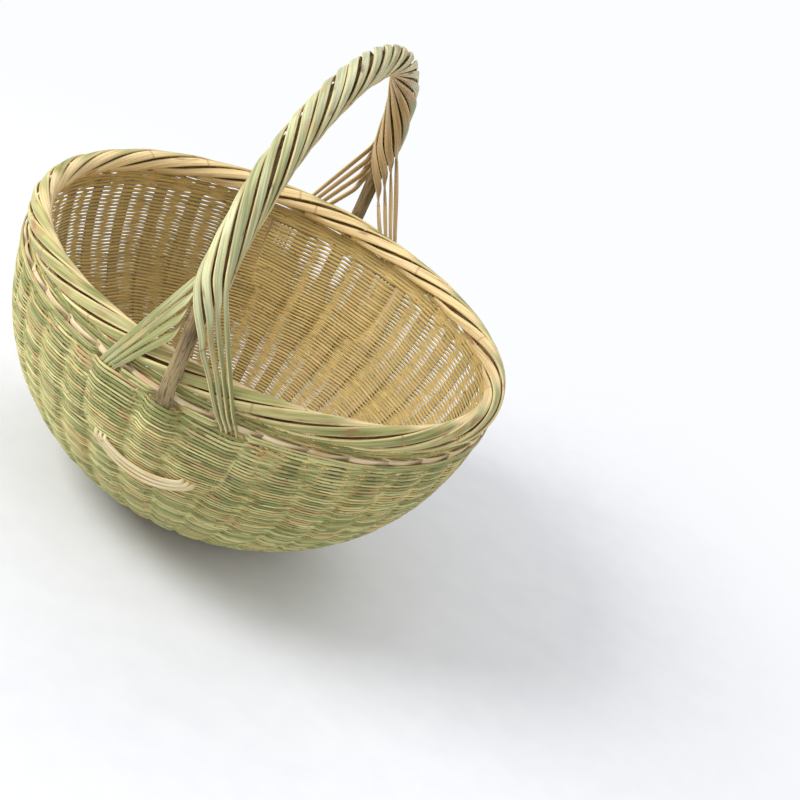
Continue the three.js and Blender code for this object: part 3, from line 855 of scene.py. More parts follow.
@dataclass
class WeftRows(Maker):
    """The weft rows of the wall, each a strand that passes over one stake and under the next.

    A zone is a share of a row's swing from one side of a stake to the other. The heights of rows are in
    distances between rows, and bands are counted from the top of the weave.
    """

    SEED: ClassVar[int] = 11
    pitch: float = 1.3
    top_pitch: float = 1.7
    top_run: float = 15.0
    first_run: float = 0.9
    run_steps: int = 600
    stations_per_stake: int = 12
    reach: float = 1.55
    bend_zone: Span = (0.06, 0.86)
    thickness: float = 1.1
    cross_height: float = 1.46
    beside_height: float = 1.04
    between_height: float = 1.08
    cross_zone: Span = (0.66, 0.82)
    between_zone: Span = (0.6, 0.42)
    jitter: float = 0.12
    jitter_waves: Waves = (17, 29, 41)
    roughness: float = 0.1
    rough_waves: Waves = (5, 13, 23)
    phase_spread: float = 0.08
    phase_drift: float = 0.12
    phase_waves: Waves = (3, 7, 16)
    sway: float = 0.9
    sway_waves: tuple[Waves, ...] = ((2, 3, 5), (4, 7, 9), (11, 13, 18))
    sway_turn: float = 4.0
    sway_step: float = 1.7
    sway_start: Span = (0.0, 0.12)
    sway_end: Span = (1.0, 0.9)
    sway_least: float = 0.4
    lengths: tuple[int, int] = (14, 27)
    green_share: float = 0.9
    dry_skin: float = 0.3
    leg_heights: Span = (1.42, 1.9)
    leg_inside: float = -1.8
    leg_over: float = 3.6
    leg_sink: float = 1.9
    leg_angle: float = 15.0
    leg_reach: float = 11.5
    leg_end: float = 2.25
    leg_fades: Span = (1.1, 2.0)
    stick_over: float = 5.9
    stick_sink: float = 2.0
    stick_reach: float = 11.0
    stick_bands: Span = (1.25, 0.95)
    hidden_depths: Span = (10.6, 22.2)
    hidden_pitch: float = 1.45
    hidden_offset: float = -2.0
    hidden_swing: float = 0.6
    hidden_drift: float = 0.3
    hidden_waves: Waves = (4, 9, 15)
    hidden_height: float = 1.58
    hidden_slit: float = 0.78
    slit_zones: tuple[Span, Span] = ((0.85, 0.71), (0.42, 0.6))
    slit_start: Span = (23.2, 31.2)
    cover_depths: tuple[float, ...] = (18.4, 19.9, 21.4)
    cover_height: float = 1.1
    cover_offset: float = 2.5
    cover_starts: tuple[Span, Span] = ((17.0, 19.4), (2.2, 4.6))
    cover_end: Span = (13.0, 10.6)

    @property
    def azimuth(self) -> Array:
        """Stations round a row."""
        count = self.body.stakes * self.stations_per_stake
        return np.arange(count) / count * FULL_TURN

    def row_angles(self) -> Array:
        """Spaces the rows, farther apart near the top.

        Returns:
            The wall's angle at each row, from the top down.
        """
        grid = np.linspace(self.body.top_angle, self.body.first_angle, self.run_steps)
        run = run_along(self.body.point(grid, 0.0, 0.0))
        spots, spot = [], self.first_run
        while spot < run[-1]:
            spots.append(spot)
            spot += self.pitch + (self.top_pitch - self.pitch) * math.exp(-((spot / self.top_run) ** 2))
        return np.interp(spots, run, grid)

    def runs(self, count: int) -> tuple[Array, Array]:
        """Tone and skin along one row, which is made of several lengths of strand.

        Args:
            count: Stations round the row.

        Returns:
            The tone and the share of skin at each station.
        """
        cuts = np.sort(self.rng.integers(0, count, self.rng.integers(*self.lengths)))
        marks = np.searchsorted(cuts, np.arange(count)) % len(cuts)
        tones = self.rng.uniform(0.0, 1.0, len(cuts))
        skins = np.where(self.rng.uniform(size=len(cuts)) < self.green_share, 1.0, self.dry_skin)
        return tones[marks], skins[marks]

    def led(self, offset: Array, angle: Array, number: int) -> tuple[Array, Array]:
        """Leads a row past the handle's legs and its stick where they are tucked behind the weave.

        Args:
            offset: The row's own offset.
            angle: The wall's angle at each station.
            number: The row's number; even rows pass outside the legs, odd ones inside them.

        Returns:
            The new offset, and from 0 to 1 how much each station lies on a leg.
        """
        below = self.body.bands_down(angle)
        sunk = np.clip(below, 0.0, 1.0)
        inside = number % 2 == 1
        passing = self.leg_inside if inside else self.leg_over - self.leg_sink * sunk
        above_tip = ease(below, self.leg_end, self.leg_fades[number % 2])
        result, on_leg = offset, np.zeros_like(offset)
        for foot in Foot:
            middle = foot.value * math.pi / 2.0
            for side in (-1.0, 1.0):
                away = self.distance(middle + side * math.radians(self.leg_angle), angle)
                share = np.exp(-((away / self.leg_reach) ** 2)) * above_tip
                result = result + share * (passing - result)
                on_leg = np.maximum(on_leg, share)
            if inside:
                away = self.distance(middle, angle)
                share = np.exp(-((away / self.stick_reach) ** 4)) * ease(below, *self.stick_bands)
                over = self.stick_over - self.stick_sink * sunk
                result = result + share * np.maximum(over - result, 0.0)
        return result, on_leg

    def distance(self, middle: float, angle: Array) -> Array:
        """Distance of each station round the wall from a place on it."""
        return np.abs((self.azimuth - middle + math.pi) % FULL_TURN - math.pi) * self.body.radius(angle)

    def swing(self, number: int) -> Array:
        """Which side of the stakes a row is on.

        Args:
            number: Counted from the top; its parity sets which stakes it passes over.

        Returns:
            From -1 inside the middle of a stake to 1 outside it, at each station.
        """
        shift = self.rng.normal(0.0, self.phase_spread)
        phase = shift + self.phase_drift * self.wander(self.azimuth, self.phase_waves)
        return np.cos(self.body.stakes / 2.0 * self.azimuth + phase) * (1.0 if number % 2 == 0 else -1.0)

    def swell(self, swing: Array) -> Array:
        """A row's height: tall on a stake, low beside it and full where rows cross.

        Args:
            swing: Which side of the stakes it is on.

        Returns:
            Its height at each station.
        """
        size = np.abs(swing)
        on_stake = (self.cross_height - self.beside_height) * ease(size, *self.cross_zone)
        crossing = (self.between_height - self.beside_height) * ease(size, *self.between_zone)
        return self.beside_height + on_stake + crossing

    def strand(self, angle: Array, offset: Array, width: Array) -> Sweep:
        """Sweeps a row's section round the wall.

        Args:
            angle: The wall's angle at each station.
            offset: How far it lies outside the middle of the wall.
            width: Its height on the wall.

        Returns:
            The row.
        """
        radial, upward = self.body.normal(angle)
        out = around(self.azimuth, radial, upward)
        down = around(self.azimuth, upward, -radial)
        centre = self.body.point(angle, self.azimuth, offset)
        rings = STRAND.rings(centre, down, out, width, self.thickness)
        tone, skin = self.runs(len(centre))
        girth = np.array(STRAND.across) * self.pitch
        faced = np.outer(skin, STRAND.skin)
        return Sweep(rings, faced, np.array(STRAND.edge), tone, girth, self.grain(), looped=True)

    def rough(self, width: float) -> Array:
        """A width that varies a little along a row."""
        return width * (1.0 + self.roughness * self.wander(self.azimuth, self.rough_waves))

    def hidden_angle(self, depth: float) -> Array:
        """The wall's angle along a row at the folds, which drifts a little about its depth."""
        return self.body.angle_at(depth + self.hidden_drift * self.wander(self.azimuth, self.hidden_waves))

    def top_rows(self) -> list[Sweep]:
        """Builds the rows behind the folded stake ends, and the few over the lower edge of the folds.

        Returns:
            The rows.
        """
        rows = []
        half_turn = np.abs((self.azimuth + math.pi) % FULL_TURN - math.pi)
        from_foot = np.degrees(np.abs(half_turn - math.pi / 2.0))
        open_wall = ease(from_foot, *self.slit_start)
        wall, stick = (ease(from_foot, *start) for start in self.cover_starts)
        cover = np.maximum(wall, stick * ease(from_foot, *self.cover_end))
        for number, depth in enumerate(np.arange(*self.hidden_depths, self.hidden_pitch)):
            angle = self.hidden_angle(depth)
            swing = self.swing(number)
            beside, between = (ease(np.abs(swing), *zone) for zone in self.slit_zones)
            height = self.hidden_height - self.hidden_slit * open_wall * beside * between
            offset = self.hidden_offset + self.hidden_swing * swing
            rows.append(self.strand(angle, offset, self.rough(self.hidden_pitch) * height))
        for depth in self.cover_depths:
            angle = self.hidden_angle(depth)
            offset = self.hidden_offset + (self.cover_offset - self.hidden_offset) * cover
            rows.append(self.strand(angle, offset, self.rough(self.cover_height * self.hidden_pitch)))
        return rows

    def build(self) -> None:
        """Builds the rows band by band."""
        angles = self.row_angles()
        slow = [self.wander(self.azimuth, waves) for waves in self.sway_waves]
        bands: list[list[Sweep]] = [[] for _ in range(self.body.bands)]
        steps = np.abs(np.gradient(angles))
        gaps = np.linalg.norm(np.gradient(self.body.point(angles, 0.0, 0.0), axis=0), axis=1)
        for number, level in enumerate(angles):
            share = number / len(angles)
            phase = self.sway_turn * share
            waves = sum(wave * math.sin(phase + self.sway_step * k) for k, wave in enumerate(slow))
            inner = ease(share, *self.sway_start) * ease(share, *self.sway_end)
            spacing = self.sway_least + (1.0 - self.sway_least) * steps[number] / steps.max()
            angle = level + self.sway * waves * inner * spacing / self.body.depth
            swing = self.swing(number)
            bend = np.sign(swing) * ease(np.abs(swing), *self.bend_zone)
            jitter = self.jitter * self.wander(self.azimuth, self.jitter_waves)
            offset, on_leg = self.led(self.reach * bend + jitter, angle, number)
            swell = self.swell(swing)
            swell = swell + (np.maximum(swell, self.leg_heights[number % 2]) - swell) * on_leg
            from_top = min(int(self.body.bands_down(level)), self.body.bands - 1)
            bands[-1 - from_top].append(self.strand(angle, offset, self.rough(gaps[number]) * swell))
        for band, rows in enumerate([*bands, self.top_rows()], start=1):
            self.workshop.piece(f"weft_rows_{band}", Slot.WEFT, rows, f"weft_band_{band}")


@dataclass
class BaseRounds(Maker):
    """The first weft rounds, woven tight under the crossing of the stakes."""

    SEED: ClassVar[int] = 23
    first_radius: float = 3.0
    first_share: float = 0.2
    flat_margin: float = 1.5
    flat_height: float = 0.62
    wall_offset: float = 1.6
    pitch: float = 2.05
    fill: float = 0.95
    fill_drift: float = 0.05
    fill_waves: Waves = (3, 7)
    thickness: float = 1.15
    wave: float = 0.16
    wave_lowest: float = -0.05
    wave_radii: Span = (20.0, 45.0)
    skins: Span = (1.0, 0.2)
    stations: int = 144

    def build(self) -> None:
        """Builds the rounds, the outer ones sloping up to the wall."""
        flat_end = self.body.base_radius + self.flat_margin
        wall = self.body.point(self.body.first_angle, 0.0, self.wall_offset)
        outward, upward = wall[0] - flat_end, wall[2] - self.flat_height
        run = np.hypot(outward, upward)
        total = flat_end - self.first_radius + run
        azimuth = np.arange(self.stations) / self.stations * FULL_TURN
        rounds = []
        count = int(total / self.pitch)
        for number in range(count):
            spot = self.first_radius + (number + self.first_share) * total / count
            climb = max(spot - flat_end, 0.0) / run
            radius = min(spot, flat_end) + climb * outward
            height = self.flat_height + climb * upward
            size = self.wave * ease(radius, *self.wave_radii) * (1.0 if number % 2 == 0 else -1.0)
            wave = np.maximum(size * np.cos(self.body.stakes / 2.0 * azimuth), self.wave_lowest)
            slope = math.atan2(upward, outward) if climb > 0.0 else 0.0
            width = self.pitch * (self.fill + self.fill_drift * self.wander(azimuth, self.fill_waves))
            side = around(azimuth, math.cos(slope), math.sin(slope))
            out = around(azimuth, math.sin(slope), -math.cos(slope))
            centre = around(azimuth, radius, height + wave)
            rings = STRAND.rings(centre, side, out, width, self.thickness)
            skin = np.array(STRAND.skin) * self.rng.choice(self.skins)
            tone = self.rng.uniform()
            girth = np.array(STRAND.across) * self.pitch
            rounds.append(Sweep(rings, skin, np.array(STRAND.edge), tone, girth, self.grain(), looped=True))
        self.workshop.piece("base_rounds", Slot.BASE, rounds, "base_weave")


@dataclass
class Stakes(Maker):
    """The flat uprights, which cross under the middle and end in folds below the rim."""

    SEED: ClassVar[int] = 37
    bundles: int = 3
    per_bundle: int = 6
    layer_step: float = 1.7
    thickness: float = 1.4
    base_width: float = 6.74
    top_width: float = 11.0
    base_lead: float = 0.02
    base_stations: int = 24
    wall_stations: int = 56
    fold_stations: int = 16
    fold_slopes: Span = (1.2, 3.4)
    fold_runs: Span = (28.5, 34.0)
    fold_widths: Span = (4.872, 5.8)
    fold_depth: float = 17.2
    fold_skin: float = 0.35
    tip_shares: Span = (0.3, 0.44)
    bow_start: float = 0.3
    bow: float = 0.8
    tip_dive: float = 1.9
    tip_start: float = 0.72
    inner_face: float = -0.3
    # Skin shares that lift the stake off its dark pith, the painted shade, on its inner face, near the top of
    # the wall and across the base.
    inner_skin: float = 0.6
    top_skin: float = 0.42
    top_heights: Span = (122.0, 142.0)
    base_skin: float = 0.5
    base_radii: Span = (78.0, 60.0)
    tone: float = 0.35
    fold_tones: Span = (0.2, 0.5)

    def width(self, angle: float) -> float:
        """Width of a stake at an angle of the wall."""
        share = (self.body.base_angle - angle) / (self.body.base_angle - self.body.top_angle)
        return self.base_width + (self.top_width - self.base_width) * np.clip(share, 0.0, 1.0)

    def wall_edges(self, azimuth: float) -> Array:
        """The two edges of a stake up the wall and round its fold.

        Args:
            azimuth: Where it climbs the wall.

        Returns:
            Rows of the two edges' angles, their two azimuths, an offset and a share of the fold.
        """
        rows = []
        start = self.body.base_angle - self.base_lead
        for angle in np.linspace(start, self.body.top_angle, self.wall_stations):
            turn = self.width(angle) / 2.0 / self.body.radius(angle)
            rows.append((angle, angle, azimuth - turn, azimuth + turn, 0.0, 0.0))
        slope = math.radians(self.vary(self.fold_slopes))
        run = self.vary(self.fold_runs)
        half = self.top_width / 2.0
        fold_width = self.vary(self.fold_widths)
        mitre = (fold_width / 2.0 - half * math.sin(slope)) / math.cos(slope)
        tip = np.array([math.sin(slope), math.cos(slope)]) * fold_width * self.vary(self.tip_shares)
        corner = np.array([[-half, -mitre], [half, mitre]])
        middle = np.array([-run, run * math.tan(slope)])
        end = np.array([middle - tip, middle + tip])
        for share in np.linspace(0.0, 1.0, self.fold_stations):
            along, rise = (corner + (end - corner) * share).T
            dive = self.tip_dive * float(ease(share, self.tip_start, 1.0))
            offset = self.bow_start + self.bow * math.sin(math.pi * share) - dive
            turns = azimuth + along / self.body.wall_radius
            angles = self.body.angle_at(self.fold_depth - rise)
            rows.append((*angles, *turns, offset, min(self.fold_skin + share, 1.0)))
        return np.array(rows)

    def half_rings(self, direction: float, place: float, layer: float) -> tuple[Array, Array]:
        """The rings of one half of a stake, from the edge of the base to its tip.

        Args:
            direction: The bundle's direction.
            place: The stake's place in the bundle.
            layer: The bundle's layer across the base.

        Returns:
            The rings and the share of the fold at each.
        """
        edges = self.wall_edges(direction + place * self.body.stake_step)
        low, high, left, right, offset = (edges[:, k : k + 1] for k in range(5))
        across = np.array(RIBBON.across) + 0.5
        up = np.array(RIBBON.out) * self.thickness
        rings = self.body.point(low + (high - low) * across, left + (right - left) * across, offset + up)
        radius = np.hypot(rings[..., 0], rings[..., 1])
        on_base = ease(radius, self.body.first_row_radius, self.body.base_radius)
        rings[..., 2] += layer * self.layer_step * on_base
        return rings, edges[:, 5]

    def skin(self, rings: Array, fold: Array) -> Array:
        """How much skin shows over the dark pith, which is painted shade in the gaps between weft rows: none
        on the outside of the wall's lower part, more elsewhere.

        Args:
            rings: The stake's points.
            fold: Share of the fold at each station.

        Returns:
            The share of skin at each point.
        """
        inner = np.where(np.array(RIBBON.out) < self.inner_face, self.inner_skin, 0.0)
        radius = np.hypot(rings[..., 0], rings[..., 1])
        near_top = self.top_skin * ease(rings[..., 2], *self.top_heights)
        plain = np.maximum(self.base_skin * ease(radius, *self.base_radii), near_top)
        return np.maximum(np.maximum(fold[:, None], plain), inner)

    def build(self) -> None:
        """Builds the stakes, each of two halves and a length across the base."""
        share = np.linspace(0.0, 1.0, self.base_stations + 2)[1:-1, None, None]
        for count in range(self.bundles * self.per_bundle):
            bundle, number = divmod(count, self.per_bundle)
            direction = self.body.stake_step / 2.0 + bundle * math.pi / self.bundles
            layer = bundle - (self.bundles - 1) / 2.0
            place = number - (self.per_bundle - 1) / 2.0
            near, near_fold = self.half_rings(direction, place, layer)
            far, far_fold = self.half_rings(direction + math.pi, -place, layer)
            far = far[::-1, STRIP_MIRROR]
            rings = np.concatenate([far, far[-1] + (near[0] - far[-1]) * share, near])
            fold = np.concatenate([far_fold[::-1], np.zeros(self.base_stations), near_fold])
            tone = self.tone + fold * self.vary(self.fold_tones)
            girth = np.array(RIBBON.across) * self.top_width
            skin = self.skin(rings, fold)
            strip = Sweep(rings, skin, np.array(RIBBON.edge), tone, girth, self.grain())
            name, node = f"stake_strip_{count + 1:02d}", f"stake_{count + 1:02d}"
            self.workshop.piece(name, Slot.STAKE, [strip], node)


@dataclass
class Rim(Maker):
    """The rim: ribbons that come up outside, cross the top and go down inside, round a bundled core.

    Turns are in degrees round the rim's section, from outward towards up.
    """

    SEED: ClassVar[int] = 53
    splints: int = 6
    turns: int = 4
    ratio: float = 1.25
    start_turn: float = -112.0
    start_turns: Span = (-118.0, -106.0)
    end_turns: Span = (224.0, 236.0)
    waver: float = 2.5
    aways: Span = (6.5, 7.05)
    away_ripple: float = 0.2
    away_rate: float = 9.0
    tuck_depth: float = 1.7
    tuck_start: Span = (0.0, 0.14)
    tuck_end: Span = (1.0, 0.88)
    widths: Span = (6.7, 7.55)
    first_width: float = 0.5
    first_taper: Span = (0.0, 0.22)
    last_width: float = 0.72
    last_taper: Span = (1.0, 0.72)
    thickness: float = 2.1
    leans: Span = (6.0, 14.0)
    stations: int = 96
    green_turns: Span = (128.0, 62.0)
    least_skin: float = 0.12
    full_share: float = 0.85
    part_skin: float = 0.55
    tones: Span = (0.15, 1.0)
    core_strands: int = 5
    core_away: float = 2.2
    core_size: float = 3.3
    core_turns: int = 23
    core_sides: int = 6
    core_stations: int = 300
    core_tone: float = 0.5
    core_tone_drift: float = 0.4
    core_waves: Waves = (3, 8, 21)

    def point(self, azimuth: Array, away: Values, turn: Array) -> Array:
        """A point of the rim's section at a distance from its centre line, turned round the basket."""
        radius = self.body.rim_radius + away * np.cos(turn)
        return around(azimuth, radius, self.body.rim_height + self.ratio * away * np.sin(turn))

    def ribbon(self, start: float) -> Sweep:
        """Builds one ribbon.

        Args:
            start: Azimuth where it comes out below the rim, in radians.

        Returns:
            The ribbon.
        """
        share = np.linspace(0.0, 1.0, self.stations)
        low, high = self.vary(self.start_turns), self.vary(self.end_turns)
        degrees = low + (high - low) * share
        turn = np.radians(degrees + self.waver * self.wander(share * FULL_TURN, (1,)))
        azimuth = start + np.radians(degrees - self.start_turn) / self.turns
        tuck = ease(share, *self.tuck_start) * ease(share, *self.tuck_end)
        away = self.vary(self.aways) - self.tuck_depth * (1.0 - tuck)
        away = away + self.away_ripple * self.ripple(share * self.away_rate)
        rows = self.point(azimuth, away, turn)
        normals = unit(around(azimuth, self.ratio * np.cos(turn), np.sin(turn)))
        lean = self.vary(self.leans)
        width = self.vary(self.widths)
        width = width * (self.first_width + (1.0 - self.first_width) * ease(share, *self.first_taper))
        width = width * (self.last_width + (1.0 - self.last_width) * ease(share, *self.last_taper))
        green = 1.0 if self.rng.uniform() < self.full_share else self.part_skin
        skin = self.least_skin + (1.0 - self.least_skin) * ease(degrees, *self.green_turns) * green
        tone = self.vary(self.tones)
        return Sweep.strip(SPLINT, rows, normals, width, self.thickness, skin, tone, self.grain(), lean)

    def core_strand(self, number: int) -> Sweep:
        """Builds one strand of the bundle inside the rim.

        Args:
            number: Its number.

        Returns:
            The strand.
        """
        azimuth = np.arange(self.core_stations) / self.core_stations * FULL_TURN
        turn = self.core_turns * azimuth + number / self.core_strands * FULL_TURN
        section = np.arange(self.core_sides) / self.core_sides * FULL_TURN
        half = self.core_size / 2.0
        rows = self.point(azimuth, self.core_away, turn)
        out = around(azimuth, 1.0, 0.0)[:, None] * (np.cos(section) * half)[:, None]
        up = np.array([0.0, 0.0, 1.0]) * (np.sin(section) * half * self.ratio)[:, None]
        tone = self.core_tone + self.core_tone_drift * self.wander(azimuth, self.core_waves)
        girth = np.arange(self.core_sides) * half
        return Sweep(rows[:, None] + out + up, 1.0, 0.0, tone, girth, self.grain(), looped=True)

    def build(self) -> None:
        """Builds the ribbons and the core."""
        for number in range(self.splints):
            first = (self.start_turn - 360.0 / self.splints * number) / self.turns
            starts = [math.radians(first + 360.0 / self.turns * lap) for lap in range(self.turns)]
            ribbons = [self.ribbon(start) for start in starts]
            self.workshop.piece(f"rim_ribbons_{number + 1}", Slot.RIM, ribbons, f"rim_splint_{number + 1}")
        core = [self.core_strand(number) for number in range(self.core_strands)]
        self.workshop.piece("rim_bundle", Slot.CORE, core, "rim_core")


@dataclass
class HandleArch:
    """The centre line of the handle from the foot at -Y to the foot at +Y."""

    body: BodyShape
    foot_radius: float = 185.54
    rise: float = 169.0
    squareness: float = 0.52
    shift: float = 26.0
    lean: float = -10.0
    split_height: float = 73.0
    table_size: int = 4001
    half_step: float = 0.8

    def __post_init__(self) -> None:
        """Tabulates the arch by its length."""
        turn = (1.0 - np.cos(np.linspace(0.0, math.pi, self.table_size))) / 2.0 * math.pi
        sine = np.maximum(np.sin(turn), 0.0)
        forward = -self.foot_radius * np.cos(turn) + self.shift * sine**2
        height = self.body.rim_height + self.rise * sine**self.squareness
        self.table = np.column_stack([self.lean * sine, forward, height])
        self.run = run_along(self.table)

    @property
    def length(self) -> float:
        """Length of the arch."""
        return float(self.run[-1])

    @property
    def split(self) -> float:
        """Share of the arch where the ribbons part into legs."""
        return self.split_height / self.length

    def place(self, run: Array) -> Array:
        """The arch's centre at distances along it."""
        return np.column_stack([np.interp(run, self.run, column) for column in self.table.T])

    def at(self, share: Values) -> tuple[Array, Array, Array]:
        """The arch at shares of its length.

        Args:
            share: Shares from 0 to 1.

        Returns:
            The centres, the directions out of the arch and those across it.
        """
        reach = np.atleast_1d(np.asarray(share, float)) * self.length
        ahead = self.place(np.minimum(reach + self.half_step, self.length))
        along = unit(ahead - self.place(np.maximum(reach - self.half_step, 0.0)))
        return self.place(reach), *crosswise(along)


@dataclass
class HandleStick(Maker):
    """The stick inside the handle, whose flattened feet go down behind the top of the weave."""

    SEED: ClassVar[int] = 71
    arch: HandleArch
    radius: float = 7.25
    foot_radius: float = 5.4
    foot_depth: float = 4.5
    tuck_depth: float = 2.0
    tuck_rise: float = 0.6
    tip_depth: float = 1.0
    tip_radius: float = 4.0
    face: float = 1.0
    sides: int = 18
    keys: int = 60
    step: float = 2.5
    rounding: float = 7.0
    knots: int = 22
    knot_heights: Span = (0.03, 0.09)
    knot_length: float = 6.0
    knot_narrowness: float = 2.0
    slimness: float = 0.97
    rings_height: float = 0.02
    rings_length: float = 9.0
    rings_skew: float = 3.0
    flute_height: float = 0.015
    flutes: float = 5.0
    flute_length: float = 31.0
    tone: float = 0.5
    tone_drift: float = 0.35
    tone_lengths: Span = (23.0, 61.0)
    girth: float = 1.5
    grain_start: float = 5.0

    def foot(self, foot: Foot) -> list[list[float]]:
        """Key sections of one foot, from its tip up: centre, half width and half depth.

        Args:
            foot: Which foot.

        Returns:
            Rows of five numbers.
        """
        body = self.body
        sign = float(foot.value)
        rows = []
        tucked = ((1.0, self.tip_radius, self.tip_depth), (0.0, self.foot_radius, self.tuck_depth))
        for below, width, depth in tucked:
            radius, _, height = body.point(body.band_angle(below), 0.0, self.face + depth)
            rows.append([0.0, sign * radius, height + self.tuck_rise, width, depth])
        for side in (-1.0, 1.0):
            height = body.rim_height + side * body.rim_half_height
            rows.append([0.0, sign * self.arch.foot_radius, height, self.foot_radius, self.foot_depth])
        half = self.arch.split / 2.0
        slim = self.arch.at(half if foot is Foot.NEAR else 1.0 - half)[0][0]
        rows.append([*slim, self.foot_radius, self.foot_radius])
        return rows

    def scale(self, run: Array, section: Array) -> Array:
        """How much the stick swells at its knots, rings and flutes.

        Args:
            run: Distance of each ring along the stick, as a column.
            section: Angles of a ring's points.

        Returns:
            The factor on its radius, rings by points.
        """
        scale = self.slimness
        for knot in self.rng.uniform(0.0, run[-1, 0], self.knots):
            turn = self.vary((0.0, FULL_TURN))
            lengthwise = self.vary(self.knot_heights) * np.exp(-(((run - knot) / self.knot_length) ** 2))
            scale = scale + lengthwise * np.exp(self.knot_narrowness * (np.cos(section - turn) - 1.0))
        rings = self.rings_height * np.sin(run / self.rings_length + self.rings_skew * np.sin(section))
        return scale + rings + self.flute_height * np.sin(self.flutes * section + run / self.flute_length)

    def build(self) -> None:
        """Builds the stick."""
        shares = np.linspace(self.arch.split, 1.0 - self.arch.split, self.keys)
        middle = [[*centre, self.radius, self.radius] for centre in self.arch.at(shares)[0]]
        keys = np.array(self.foot(Foot.NEAR) + middle + self.foot(Foot.FAR)[::-1])
        rows = softened(keys, self.step, self.rounding)
        out, across = crosswise(unit(np.gradient(rows[:, :3], axis=0)))
        section = np.arange(self.sides) / self.sides * FULL_TURN
        run = np.arange(len(rows))[:, None] * self.step
        scale = self.scale(run, section)
        sideways = across[:, None] * (rows[:, 3:4] * np.sin(section) * scale)[..., None]
        outward = out[:, None] * (rows[:, 4:5] * np.cos(section) * scale)[..., None]
        first, second = (np.sin(run / length) for length in self.tone_lengths)
        tone = self.tone + self.tone_drift * first * second
        girth = np.sin(section) * self.radius * self.girth
        stick = Sweep(rows[:, None, :3] + sideways + outward, 1.0, 0.0, tone, girth, self.grain_start)
        self.workshop.piece("grip_stick", Slot.STICK, [stick], "handle_stick")


